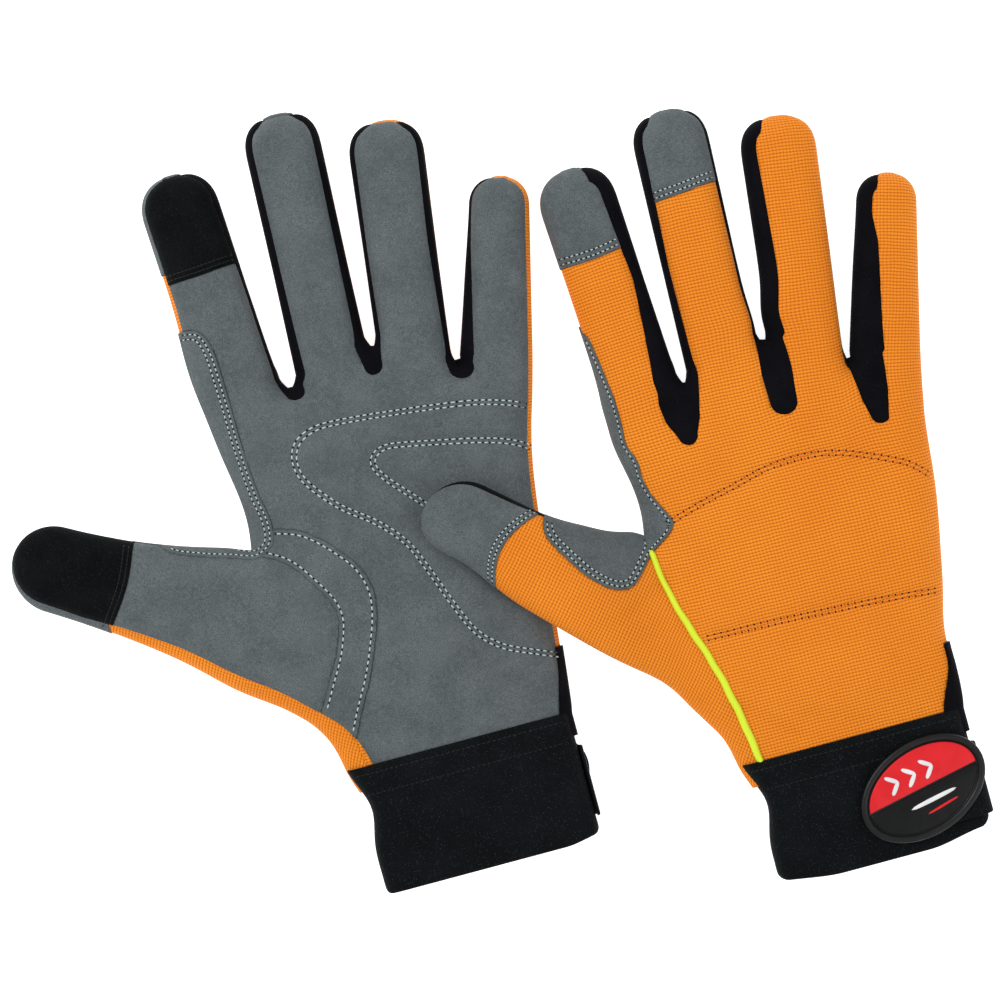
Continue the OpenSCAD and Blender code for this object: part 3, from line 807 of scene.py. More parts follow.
def srgb(r, g, b):
    """A colour given as 0 to 255, as Blender's linear colour."""
    c = np.array([r, g, b]) / 255
    c = np.where(c <= 0.04045, c / 12.92, ((c + 0.055) / 1.055) ** 2.4)
    return (*c.tolist(), 1.0)


class Nodes:
    """Short names for building a material's nodes."""

    def __init__(self, name, roughness, specular=0.3, sheen=0.0, sheen_tint=(1, 1, 1, 1)):
        self.material = bpy.data.materials.new(name)
        self.material.use_nodes = True
        self.tree = self.material.node_tree
        self.shader = self.tree.nodes["Principled BSDF"]
        self.shader.inputs["Roughness"].default_value = roughness
        self.shader.inputs["Specular IOR Level"].default_value = specular
        self.shader.inputs["Sheen Weight"].default_value = sheen
        self.shader.inputs["Sheen Roughness"].default_value = 0.4
        self.shader.inputs["Sheen Tint"].default_value = sheen_tint

    def add(self, kind, **inputs):
        node = self.tree.nodes.new(kind)
        for key, value in inputs.items():
            self.feed(node, key.replace("_", " "), value)
        return node

    def feed(self, node, key, value):
        socket = node.inputs[int(key) if key.strip().isdigit() else key]
        if isinstance(value, bpy.types.NodeSocket):
            self.tree.links.new(value, socket)
        else:
            socket.default_value = value

    def position(self):
        return self.add("ShaderNodeTexCoord").outputs["Object"]

    def attribute(self, name):
        node = self.add("ShaderNodeAttribute")
        node.attribute_name = name
        return node.outputs["Vector"]

    def axes(self, vector):
        node = self.add("ShaderNodeSeparateXYZ")
        self.feed(node, "0", vector)
        return node.outputs

    def math(self, operation, a, b=0.0, c=0.0):
        node = self.tree.nodes.new("ShaderNodeMath")
        node.operation = operation
        for k, value in enumerate((a, b, c)):
            self.feed(node, str(k), value)
        return node.outputs[0]

    def noise(self, size, detail=2.0, vector=None, rough=0.5):
        """Noise with features about that many millimetres across, around 0.5."""
        node = self.tree.nodes.new("ShaderNodeTexNoise")
        self.feed(node, "Vector", self.position() if vector is None else vector)
        node.inputs["Scale"].default_value = 1 / (size * MM) if vector is None else 1 / size
        node.inputs["Detail"].default_value = detail
        node.inputs["Roughness"].default_value = rough
        return node.outputs["Fac"]

    def cells(self, size):
        node = self.tree.nodes.new("ShaderNodeTexVoronoi")
        self.feed(node, "Vector", self.position())
        node.inputs["Scale"].default_value = 1 / (size * MM)
        return node.outputs["Distance"]

    def ramp(self, value, low, high, a=0.0, b=1.0):
        node = self.tree.nodes.new("ShaderNodeMapRange")
        node.interpolation_type = "SMOOTHSTEP"
        for k, v in enumerate((value, low, high, a, b)):
            self.feed(node, str(k), v)
        return node.outputs[0]

    def mix(self, factor, a, b):
        node = self.tree.nodes.new("ShaderNodeMix")
        node.data_type = "RGBA"
        self.feed(node, "0", factor)
        self.feed(node, "6", a)
        self.feed(node, "7", b)
        return node.outputs[2]

    def wave(self, value, pitch, phase=0.0):
        """A wave between 0 and 1 with that pitch."""
        angle = self.math("MULTIPLY_ADD", value, 2 * math.pi / pitch, phase)
        return self.math("MULTIPLY_ADD", self.math("COSINE", angle), 0.5, 0.5)

    def finish(self, colour, height=None, strength=0.5, distance=0.2, roughness=None):
        self.feed(self.shader, "Base Color", colour)
        if roughness is not None:
            self.feed(self.shader, "Roughness", roughness)
        if height is not None:
            bump = self.tree.nodes.new("ShaderNodeBump")
            bump.inputs["Strength"].default_value = strength
            bump.inputs["Distance"].default_value = distance * MM
            self.feed(bump, "Height", height)
            self.feed(self.shader, "Normal", bump.outputs["Normal"])
        return self.material


def orange_knit():
    """Stretch knit with rows of rounded ribs. Painted shade darkens the valleys between the ribs, and a
    darker dot of painted shade sits in the gap between every two stitches.
    """
    row, column = 1.05, 1.1
    n = Nodes("orange_knit", 0.7, 0.14, 0.12, srgb(255, 190, 110))
    cloth = n.attribute("weave")
    u, v, _ = n.axes(cloth)
    drift = n.math("MULTIPLY_ADD", n.noise(7, 3, cloth), 0.8, -0.4)
    u, v = n.math("ADD", u, drift), n.math("ADD", v, drift)
    rib, stitch = n.wave(v, row), n.wave(u, column)
    valley = n.ramp(rib, 0.45, 0.05)
    dot = n.math("MULTIPLY", valley, n.ramp(stitch, 0.55, 0.92))
    shade = n.noise(26, 3)
    lit = n.mix(n.ramp(shade, 0.3, 0.7), srgb(230, 127, 20), srgb(237, 138, 30))
    fibre = n.mix(n.math("MULTIPLY", n.noise(0.35, 2), 0.55), lit, srgb(255, 170, 60))
    # Painted shade: the colour darkens along the valleys between the ribs and between the stitches, where the
    # bump sinks too.
    between = n.math("MULTIPLY", n.ramp(stitch, 0.6, 1.0), 0.5)
    valley_shade = n.math("MULTIPLY", n.math("MAXIMUM", valley, between), 0.62)
    valley_shaded = n.mix(valley_shade, fibre, srgb(198, 88, 4))
    # Painted shade: the dot in the gap between two stitches darkens further, to a deep orange.
    colour = n.mix(n.math("MULTIPLY", dot, 0.7), valley_shaded, srgb(186, 66, 0))
    height = n.math("SUBTRACT", n.math("MULTIPLY", rib, 0.8), n.math("MULTIPLY", dot, 0.6))
    return n.finish(colour, height, 0.6, 0.25)


def grey_suede():
    """Short nap: fine speckle, soft clouds where the nap is brushed, and a light sheen."""
    n = Nodes("grey_suede", 0.9, 0.1, 0.12, srgb(190, 196, 196))
    cloud = n.noise(11, 3)
    fine = n.noise(0.33, 3, rough=0.75)
    streak = n.noise(1.6, 2)
    base = n.mix(n.ramp(cloud, 0.3, 0.72), srgb(93, 100, 102), srgb(107, 114, 116))
    brushed = n.mix(n.ramp(streak, 0.35, 0.75, 0.0, 0.4), base, srgb(118, 125, 127))
    colour = n.mix(n.ramp(fine, 0.36, 0.62, 0.7, 0.0), brushed, srgb(54, 60, 63))
    height = n.math("ADD", fine, n.math("MULTIPLY", streak, 0.6))
    return n.finish(colour, height, 0.35, 0.2)


def black_stretch():
    """Fine matt stretch knit with faint lint."""
    n = Nodes("black_stretch", 0.85, 0.08, 0.03, srgb(90, 92, 110))
    u, v, _ = n.axes(n.attribute("weave"))
    knit = n.math("MULTIPLY", n.wave(u, 0.7), n.wave(v, 0.6))
    specks = n.ramp(n.noise(0.6, 3), 0.6, 0.75)
    base = n.mix(n.ramp(n.noise(12, 2), 0.3, 0.7), srgb(5, 5, 9), srgb(10, 10, 16))
    colour = n.mix(n.math("MULTIPLY", specks, 0.25), base, srgb(44, 45, 56))
    return n.finish(colour, knit, 0.3, 0.12)


def touch_fabric():
    """Smooth touch-screen cloth with a dense nap."""
    n = Nodes("touch_fabric", 0.88, 0.08, 0.04, srgb(120, 125, 130))
    fine = n.noise(0.5, 3, rough=0.6)
    base = n.mix(n.ramp(n.noise(9, 2), 0.3, 0.7), srgb(6, 8, 9), srgb(12, 14, 15))
    colour = n.mix(n.ramp(fine, 0.55, 0.75, 0.0, 0.4), base, srgb(52, 56, 58))
    return n.finish(colour, fine, 0.4, 0.15)


def black_elastic():
    """Woven elastic: ribs round the wrist crossed by fine warp threads, with painted highlight specks on the
    raised threads.
    """
    n = Nodes("black_elastic", 0.8, 0.1, 0.04, srgb(120, 128, 135))
    x, y, _ = n.axes(n.position())
    warp = n.wave(x, 0.75 * MM)
    step = n.math("MULTIPLY", n.math("SIGN", n.math("SUBTRACT", warp, 0.5)), 0.17 * MM)
    weft = n.wave(n.math("ADD", y, step), 0.62 * MM)
    weave_height = n.math("MULTIPLY", warp, weft)
    # Painted highlight: light specks only on the raised threads of the weave, broken up by noise.
    specks = n.math("MULTIPLY", n.ramp(n.noise(0.5, 3), 0.52, 0.7), n.ramp(weave_height, 0.2, 0.8))
    base = n.mix(n.ramp(n.noise(14, 2), 0.3, 0.7), srgb(3, 6, 8), srgb(9, 13, 16))
    colour = n.mix(n.math("MULTIPLY", specks, 0.7), base, srgb(62, 70, 74))
    return n.finish(colour, weave_height, 0.5, 0.15)


def lime_piping():
    """Bright cord cover with a fine twill."""
    n = Nodes("lime_piping", 0.5, 0.35, 0.1)
    x, y, _ = n.axes(n.position())
    twill = n.wave(n.math("ADD", x, y), 0.55 * MM)
    colour = n.mix(n.math("MULTIPLY", twill, 0.35), srgb(222, 243, 50), srgb(196, 222, 30))
    return n.finish(colour, twill, 0.25, 0.06)


def thread(name, light, dark):
    """Twisted sewing thread."""
    n = Nodes(name, 0.55, 0.3, 0.1)
    x, y, _ = n.axes(n.position())
    twist = n.wave(n.math("ADD", n.math("MULTIPLY", x, 1.3), y), 0.3 * MM)
    colour = n.mix(n.math("MULTIPLY", twist, 0.5), light, dark)
    return n.finish(colour, twist, 0.3, 0.04)


def pile(name, light, dark):
    """Hook and loop pile, and the dark painted shade put in each needle hole: a dense tangle."""
    n = Nodes(name, 0.9, 0.1, 0.2)
    tangle = n.cells(0.55)
    colour = n.mix(n.ramp(tangle, 0.05, 0.6), light, dark)
    return n.finish(colour, tangle, 0.8, 0.3)


def foam():
    """Soft foam with open cells."""
    n = Nodes("foam", 0.9, 0.2)
    cell = n.cells(0.9)
    return n.finish(n.mix(n.ramp(cell, 0.1, 0.7), srgb(228, 224, 212), srgb(188, 182, 168)), cell, 0.6, 0.3)


def rubber(name, light, dark, roughness, specular=0.5):
    """Moulded rubber: fine satin grain and slightly duller patches."""
    n = Nodes(name, roughness, specular)
    grain = n.noise(0.25, 2)
    colour = n.mix(n.ramp(n.noise(5, 3), 0.3, 0.7), light, dark)
    rough = n.ramp(n.noise(3, 2), 0.3, 0.7, roughness - 0.06, roughness + 0.08)
    return n.finish(colour, grain, 0.15, 0.05, rough)


def floor_paper():
    """Plain white sheet that glows faintly, as on a light table."""
    n = Nodes("floor_paper", 0.9, 0.0)
    n.shader.inputs["Emission Color"].default_value = (1, 1, 1, 1)
    n.shader.inputs["Emission Strength"].default_value = 0.85
    return n.finish(n.mix(n.noise(60, 2), srgb(252, 252, 252), srgb(255, 255, 255)))


# ---- Panels of one glove ----

def glove_panels(g, mats):
    """Cuts the skin into its panels. Returns the outer surface as one mesh, to lay stitches on."""
    skin = Skin(g)
    part = shape(base_mesh(skin), g)
    surface = []

    def keep(name, piece, raised, material, node=None, thumb=False):
        surface.append({"co": piece["co"] + piece["normal"] * raised, "tris": piece["tris"]})
        panel(f"{name}_panel", g, piece, raised, mats[material], (node or name,), thumb)

    co = part["co"]
    near_cuff = smooth(58, 42, co[:, 1])
    wide = np.where(co[:, 2] > 0, 2.0 + 4.2 * near_cuff, 1.5 + 1.8 * near_cuff)
    wedge = np.minimum(62.5 - co[:, 1], wide - part["d"])
    gusset, part = split(part, np.where(co[:, 0] > 0, wedge, -5))
    keep("gusset", gusset, 0.9, "black_stretch")

    for f, name in enumerate(("index_middle", "middle_ring", "ring_little")):
        strip, part = split(part, part[f"gap{f}"])
        keep(f"fourchette_{name}", strip, -0.15, "black_stretch")

    on_back, on_palm = (depth(part["co"], crotch_plan(g, side)) for side in (BACK, PALM))
    patch, part = split(part, np.where(part["co"][:, 2] > 0, on_back, on_palm))
    keep("crotch", patch, 0.55, "grey_suede", "crotch_patch")
    back, palm = split(part, part["seam"])

    for f, name in ((INDEX, "index_cap"), (MIDDLE, "middle_cap")):
        cap, back = split(back, beyond(back, f, *CAPS[f]))
        keep(name, cap, 0.35, "grey_suede")
    cap, back = split(back, beyond_thumb(back, g, THUMB_CAP[g], THUMB_CAP_BOW, THUMB_CAP_MIDDLE))
    keep("thumb_cap", cap, 0.35, "grey_suede")
    thumb_plan = np.vstack([piping_line(), [(-35, 20), (-200, 20), (-200, 160), (-47.5, 140)]])
    thumb, back = split(back, depth(back["co"], thumb_plan))
    keep("thumb_back", thumb, 0, "orange_knit", thumb=True)
    keep("back", back, 0, "orange_knit")

    tip_patch, palm = split(palm, beyond(palm, INDEX, *INDEX_TOUCH))
    keep("index_touch", tip_patch, 0.3, "touch_fabric")
    tip_patch, palm = split(palm, beyond_thumb(palm, g, *THUMB_TOUCH))
    keep("thumb_touch", tip_patch, 0.3, "touch_fabric")
    crescent, palm = split(palm, depth(palm["co"], thenar_plan()))
    keep("thenar", crescent, 0.4, "grey_suede", "thenar_patch")
    thumb_plan = np.vstack([thenar_seam(), [(-60, 20), (-200, 20), (-200, 160), (-50, 150), (-45, 122)]])
    thumb, palm = split(palm, depth(palm["co"], thumb_plan))
    keep("thumb_palm", thumb, 0, "grey_suede", thumb=True)
    keep("palm", palm, 0, "grey_suede")
    return joined(surface)


# ---- Stitching ----


class Needle:
    """Lays stitches on an outer surface."""

    def __init__(self, co, faces):
        self.tree = BVHTree.FromPolygons(co.tolist(), faces)
        self.stitches = {}
        self.holes = []

    def drop(self, points, side, steepest=0.3):
        """The points laid on the surface, from the back or from the palm, with the surface's normals."""
        hits, normals = [], []
        for x, y in points:
            hit, normal, _, _ = self.tree.ray_cast(Vector((x, y, 40.0 * side)), Vector((0, 0, -side)))
            if hit is None or normal.z * side < steepest:
                hits.append((np.nan,) * 3)
                normals.append((0, 0, side))
            else:
                hits.append(hit[:])
                normals.append(normal[:])
        return np.array(hits), np.array(normals)

    def sew(self, thread_name, path, side, pitch=2.15, holes=True, length=1.5, thick=0.25):
        """One row of stitches along the path, with a dark bead of painted shade at the needle hole between
        each two.
        """
        points, _ = resample(np.asarray(path), pitch)
        hits, normals = self.drop(points, side)
        for a, b, n in zip(hits, hits[1:], normals):
            if np.isnan(a[0]) or np.isnan(b[0]) or np.linalg.norm(b - a) > 2.2 * pitch:
                continue
            middle, direction = (a + b) / 2, (b - a) / np.linalg.norm(b - a)
            n = n - direction * (n @ direction)
            n = n / np.linalg.norm(n)
            self.stitches.setdefault(thread_name, []).append((middle, direction, n, length, thick))
            # Painted shade: a dark bead where the needle went through, standing in for the shade inside the
            # hole.
            if holes:
                self.holes.append((a + 0.08 * n, direction, n, 0.72, 0.33))

    def double(self, thread_name, path, side, gap, **how):
        """Two rows of stitches, that far apart."""
        for s in (-0.5, 0.5):
            self.sew(thread_name, shifted(path, s * gap), side, **how)


def beads(rows, rings, sides, flat=1.0):
    """Long drop shapes, one per row of (middle, direction, normal, length, radius)."""
    turn = np.linspace(0, 2 * math.pi, sides, endpoint=False)
    levels = np.linspace(-1, 1, rings + 2)[1:-1]
    template = [(-1, 0, 0)]
    for level in levels:
        r = (1 - abs(level) ** 2.6) ** 0.5
        template += [(level, r * math.cos(a), flat * r * math.sin(a)) for a in turn]
    template = np.array(template + [(1, 0, 0)])
    faces = []
    last = len(template) - 1
    for k in range(sides):
        n = (k + 1) % sides
        faces.append((0, 1 + n, 1 + k))
        faces.append((last, last - sides + k, last - sides + n))
        for r in range(rings - 1):
            i = 1 + r * sides
            faces.append((i + k, i + n, i + n + sides, i + k + sides))
    co, all_faces = [], []
    for i, (middle, direction, normal, length, radius) in enumerate(rows):
        side = np.cross(normal, direction)
        co.append(
            middle + template[:, :1] * direction * length / 2 + template[:, 1:2] * side * radius
            + template[:, 2:] * normal * radius
        )
        all_faces += [tuple(i * len(template) + v for v in f) for f in faces]
    return np.vstack(co), all_faces


def sew_glove(g, surface, mats):
    """Every visible row of stitches on one glove, as one piece per thread."""
    needle = Needle(surface["co"], surface["tris"].tolist())
    light = "thread_mint"
    patch_row = {"pitch": 1.6, "thick": 0.21, "length": 1.1}
    touch_row = {"pitch": 1.35, "thick": 0.2, "holes": False}

    for curve in (palm_c_outer(), palm_c_inner()):
        needle.double(light, curve, PALM, 1.4)
    inner, outer = shifted(thenar_seam(), 1.5)[3:], shifted(thenar_outer(), -1.4)[2:]
    needle.sew(light, inner[inner[:, 1] > 62.5], PALM)
    needle.sew(light, outer[outer[:, 1] > 52.5], PALM)

    for side in (BACK, PALM):
        border, plan = crotch_border(g, side), crotch_plan(g, side)
        ahead = depth(shifted(border, 1.4), plan)
        inwards = 1 if ahead[len(ahead) // 3] > 0 else -1
        for inset, second_row in ((1.1, False), (2.6, True)):
            path = shifted(border, inwards * inset)
            good = depth(path, plan) > inset - 0.35
            on_hand = (path[:, 1] > 116) & (path[:, 0] > -54)
            if second_row:
                good &= on_hand == (side == PALM)
            needle.sew(light, path[good], side, pitch=1.7, thick=0.2, length=1.15)

    for f, ends in ((INDEX, (-12, 7.4)), (MIDDLE, (-9.6, 10.4))):
        x = np.linspace(*ends, 30)
        for up in (1.2, 3.0):
            edge = finger_cut(f, x, *CAPS[f]) + up
            needle.sew(light, [finger_point(f, *p) for p in zip(x, edge)], BACK, **patch_row)
    for up in (1.2, 2.8):
        x = np.linspace(-THUMB_HALF, THUMB_HALF, 36)
        edge = thumb_cut(x, THUMB_CAP[g], THUMB_CAP_BOW, THUMB_CAP_MIDDLE) + up
        needle.sew(light, [thumb_point(g, *p) for p in zip(edge, x)], BACK, **patch_row)
        edge = thumb_cut(x, *THUMB_TOUCH) + up
        needle.sew("thread_black", [thumb_point(g, *p) for p in zip(edge, x)], PALM, **touch_row)
        x = np.linspace(-TIP_HALF[INDEX], TIP_HALF[INDEX], 30)
        edge = finger_cut(INDEX, x, *INDEX_TOUCH) + up
        needle.sew("thread_black", [finger_point(INDEX, *p) for p in zip(x, edge)], PALM, **touch_row)

    for curve in (knuckle_seam(), mid_back_seam()):
        needle.double("thread_orange", curve, BACK, 1.5, thick=0.22, length=0.9)

    for name, rows in needle.stitches.items():
        co, faces = beads(rows, 4, 6)
        row_name = name.replace("thread", "stitches")
        make(f"{SIDES[g]}_{row_name}", g, co, faces, mats[name], "glove")
    # Painted shade: dark beads that stand in for the shade inside each needle hole.
    co, faces = beads(needle.holes, 2, 6, 0.5)
    make(f"{SIDES[g]}_needle_hole_shades", g, co, faces, mats["needle_hole_shade"], "glove")
    return needle


# ---- Piping, cuff and closure ----

def ring_faces(count, n, columns=None):
    """Quads between neighbouring rings of n points each."""
    return [
        (i * n + k, i * n + (k + 1) % n, (i + 1) * n + (k + 1) % n, (i + 1) * n + k)
        for i in range(count - 1) for k in (range(n) if columns is None else columns)
    ]


def tube(path, normals, radius, sides=12):
    """A closed tube along a 3-D path with round ends."""
    direction = np.gradient(path, axis=0)
    direction /= np.linalg.norm(direction, axis=1)[:, None]
    side = np.cross(normals, direction)
    side /= np.linalg.norm(side, axis=1)[:, None]
    up = np.cross(direction, side)
    turn = np.linspace(0, 2 * math.pi, sides, endpoint=False)
    count = len(path)
    swell = np.ones(count)
    swell[0], swell[-1] = 0.55, 0.55
    rings = [
        path[i] + radius * swell[i] * (np.cos(turn)[:, None] * side[i] + np.sin(turn)[:, None] * up[i])
        for i in range(count)
    ]
    faces = ring_faces(count, sides)
    faces += [tuple(range(sides))[::-1], tuple((count - 1) * sides + k for k in range(sides))]
    return np.vstack(rings), faces


def piping(g, needle, mats):
    """The corded piping in the thumb seam on the back."""
    points, _ = resample(piping_line(), 1.2)
    hits, normals = needle.drop(points, BACK)
    good = ~np.isnan(hits[:, 0])
    hits, normals = hits[good], normals[good]
    for _ in range(6):
        hits[1:-1] = (hits[:-2] + 2 * hits[1:-1] + hits[2:]) / 4
        normals[1:-1] = (normals[:-2] + 2 * normals[1:-1] + normals[2:]) / 4
    wobble = 0.12 * np.sin(np.arange(len(hits)) * 0.7)[:, None] * np.array([1, 0, 0])
    co, faces = tube(hits + normals * 0.35 + wobble, normals, 1.2)
    make(f"{SIDES[g]}_piping_cord", g, co, faces, mats["lime_piping"], "glove", ("piping",))


def cuff_edge(g, x):
    """Height of the cuff's bottom edge, which sags a little between its cut-off corners."""
    if g == LEFT:
        return 0.1 + 1.6 * smooth(24, 36, x) + 2.2 * smooth(33, 37, np.abs(x)) ** 2
    left, right = 2.6 * smooth(14, 38, -x), 2.8 * smooth(14, 34, x)
    return 0.4 + left + right + 3.0 * smooth(31.5, 37, np.abs(x)) ** 1.5


def stadium(left, right, half, n_flat, n_end):
    """A flat oval, counterclockwise seen from +Y, starting at the right end."""
    ring = []
    for k in range(n_end + 1):
        a = math.radians(-90 + 180 * k / n_end)
        ring.append((right - half + half * math.cos(a), half * math.sin(a)))
    for k in range(1, n_flat):
        ring.append((right - half - (right + left - 2 * half) * k / n_flat, half))
    for k in range(n_end + 1):
        a = math.radians(90 + 180 * k / n_end)
        ring.append((-left + half + half * math.cos(a), half * math.sin(a)))
    for k in range(1, n_flat):
        ring.append((-left + half + (right + left - 2 * half) * k / n_flat, -half))
    return np.array(ring)


def cuff(g, mats):
    """The elastic cuff as two halves, with a turned hem at the bottom."""
    n_flat, n_end = 34, 10
    rows = np.concatenate([[0, 0.006, 0.018], np.linspace(0.04, 0.97, 26), [0.985, 0.995, 1.0]])
    puff_rows = [0, 0.006, 0.018, 0.06, 0.1, 0.9, 0.985, 0.995, 1]
    puff = np.interp(rows, puff_rows, [-0.5, -0.15, 0.05, 0.12, 0, 0, 0, -0.12, -0.35])
    rings = []
    for row, grow in zip(rows, puff):
        ring = stadium(CUFF_LEFT[g] + 3.2 * row**1.4 + grow, 35.5 + grow, 4.15 + grow, n_flat, n_end)
        y = cuff_edge(g, ring[:, 0]) * (1 - row) + (CUFF_HEIGHT + 0.6) * row
        ripple = 0.18 * np.sin(ring[:, 0] * 0.35 + row * 5) * np.sin(math.pi * row)
        ring[:, 1] += np.sign(ring[:, 1]) * ripple * (np.abs(ring[:, 1]) > 3)
        rings.append(np.column_stack([ring[:, 0], y, ring[:, 1]]))
    n = len(rings[0])
    co = np.vstack(rings)
    back_columns = list(range(n_end // 2, n_end // 2 + n_flat + n_end))
    for name, columns in (("back", back_columns), ("palm", [(k + n // 2) % n for k in back_columns])):
        faces = ring_faces(len(rings), n, columns)
        used = sorted({v for f in faces for v in f})
        index = {v: i for i, v in enumerate(used)}
        faces = [tuple(index[v] for v in f)[::-1] for f in faces]
        obj = make(f"{SIDES[g]}_cuff_{name}_band", g, co[used], faces, mats["black_elastic"],
                   "glove", (f"cuff_{name}",))
        solidify(obj, 1.0)
    needle = Needle(co, [f[::-1] for f in ring_faces(len(rings), n)])
    x = np.linspace(-38, 35, 60)
    for side in (BACK, PALM):
        for y in (CUFF_HEIGHT - 2.0, CUFF_HEIGHT - 8.6):
            row = np.column_stack([x, np.full(len(x), y)])
            needle.sew("thread_black", row, side, pitch=1.7, holes=False, length=1.3, thick=0.2)
    co, faces = beads(needle.stitches["thread_black"], 4, 6)
    make(f"{SIDES[g]}_cuff_stitches", g, co, faces, mats["thread_black"], "glove")


def oval(inset):
    """The badge's oval in plan, moved in by that much."""
    t = np.linspace(0, 2 * math.pi, 72, endpoint=False)
    a, b = BADGE_SIZE[0] - inset, BADGE_SIZE[1] - inset
    long_way = np.outer(a * np.cos(t), ray(BADGE_TILT))
    return BADGE_CENTRE + long_way + np.outer(b * np.sin(t), along(BADGE_TILT))


def stack_rings(rings):
    """A closed solid through rings of equal length, the first at the bottom."""
    n = len(rings[0])
    faces = ring_faces(len(rings), n)
    faces += [tuple(range(n))[::-1], tuple((len(rings) - 1) * n + k for k in range(n))]
    return np.vstack(rings), faces


def at_height(plan, z):
    return np.column_stack([plan, np.full(len(plan), z)])


def badge(g, mats):
    """The moulded oval badge: a base with a rolled rim, and two raised fields with a plain generic mark."""
    rim = [(1.15 - 1.15 * math.cos(a), 6.1 + 0.88 * math.sin(a)) for a in np.radians(range(20, 180, 20))]
    profile = [(0.0, 5.75), (0.0, 6.1), *rim, (2.35, 6.25), (2.6, 6.18)]
    co, faces = stack_rings([at_height(oval(i), z) for i, z in profile])
    make(f"{SIDES[g]}_badge_body", g, co, faces, mats["badge_rubber"], "tab", ("badge_base",))
    for upper, name, mat in ((True, "upper", "badge_red"), (False, "lower", "badge_black")):
        steps = ((2.75, 6.2), (2.75, 6.5), (2.9, 6.62), (3.2, 6.68))
        co, faces = stack_rings([at_height(half_oval(inset, upper), z) for inset, z in steps])
        make(f"{SIDES[g]}_badge_{name}_field", g, co, faces, mats[mat], "tab", (f"badge_{name}",))
    white = [((-6.5, -4.4), (9.5, -4.4))]
    for x in (-7.5, -1.5, 4.5):
        white += [((x - 2, 8.4), (x + 1.2, 5.4)), ((x + 1.2, 5.4), (x - 2, 2.4))]
    red = [((-2.5, -8.0), (9.0, -7.2))]
    axes = np.stack([ray(DIVIDE_TILT), along(DIVIDE_TILT)])
    up = np.array([0, 0, 1.0])
    marks = (("marks", white, 0.75, "badge_white"), ("line", red, 0.42, "badge_red"))
    for name, strokes, thick, mat in marks:
        rows = []
        for stroke in strokes:
            a, b = (BADGE_CENTRE + np.array(q) @ axes for q in stroke)
            length = np.linalg.norm(b - a)
            middle, direction = np.array([*(a + b) / 2, 6.64]), np.array([*(b - a) / length, 0])
            rows.append((middle, direction, up, length + thick, thick))
        co, faces = beads(rows, 9, 10, 0.35)
        make(f"{SIDES[g]}_badge_{name}", g, co, faces, mats[mat], "tab")


def half_oval(inset, upper):
    """One side of the oval, above or below the dividing line."""
    a, b = BADGE_SIZE[0] - inset, BADGE_SIZE[1] - inset
    turn = math.radians(DIVIDE_TILT - BADGE_TILT)
    start = math.atan2(a * math.sin(turn), b * math.cos(turn)) + (0 if upper else math.pi)
    gap = (0.35 + 0.4 * (inset - 2.75)) / b
    t = np.linspace(start + gap, start + math.pi - gap, 40)
    x, y = a * np.cos(t), b * np.sin(t)
    base = line((x[-1], y[-1]), (x[0], y[0]), 12)[1:-1]
    x, y = np.concatenate([x, base[:, 0]]), np.concatenate([y, base[:, 1]])
    return BADGE_CENTRE + np.outer(x, ray(BADGE_TILT)) + np.outer(y, along(BADGE_TILT))


def closure(g, mats):
    """The tab with its hook patch, and the loop patch on the cuff. The strap bends at the cuff's edge."""
    under = [at_height(oval(i), z) for i, z in ((0.5, 5.0), (0.05, 5.15), (0.0, 5.4), (0.15, 5.75))]
    co, faces = stack_rings(under)
    make(f"{SIDES[g]}_tab_pad", g, co, faces, mats["black_elastic"], "tab")
    steps = ((3.1, 4.62), (2.8, 4.7), (2.7, 4.98), (2.7, 5.05))
    co, faces = stack_rings([at_height(oval(inset), z) for inset, z in steps])
    make(f"{SIDES[g]}_hook_pad", g, co, faces, mats["hook_pile"], "tab", ("hook_patch",))

    low, high = TAB_Y
    section = [(12.0, 5.55), (20.0, 5.55), (28.0, 5.52), (32.0, 5.4), (34.4, 5.0), (35.9, 4.0), (36.6, 2.6),
               (36.8, 1.2), (36.7, 0.0), (36.4, -1.4)]
    points, direction = resample(through(section), 0.8)
    normal = np.stack([-direction[:, 1], direction[:, 0]], 1)
    half, soft = 0.38, 0.25
    across = [(low + (high - low) * k / 12, 1) for k in range(1, 12)]
    face = [(low, 0.5), (low + soft, 1), *across, (high - soft, 1), (high, 0.5)]
    ring = [(y, half * w) for y, w in face] + [(y, -half * w) for y, w in face[::-1]]
    rings = [
        np.array([(p[0] + n[0] * w, y, p[1] + n[1] * w) for y, w in ring])
        for p, n in zip(points, normal)
    ]
    co, faces = stack_rings(rings)
    strap = make(f"{SIDES[g]}_tab_strap", g, co, faces, mats["black_elastic"],
                 None, ("closure_tab",))
    ends = place(g, np.array([(HINGE_X + 0.6, 18.0, -1.0), (HINGE_X - 5.0, 18.0, 6.0)]))
    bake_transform(strap)

    rings = [at_height(clipped(oval(inset)), z) for inset, z in ((1.5, 3.9), (1.6, 4.48), (2.0, 4.58))]
    co, faces = stack_rings(rings)
    make(f"{SIDES[g]}_loop_pad", g, co, faces, mats["loop_pile"], "glove", ("loop_patch",))


def clipped(ring):
    """The loop pad stops short of the strap, where the badge no longer rests on the cuff."""
    return np.stack([np.minimum(ring[:, 0], BADGE_CENTRE[0] + 16), ring[:, 1]], 1)


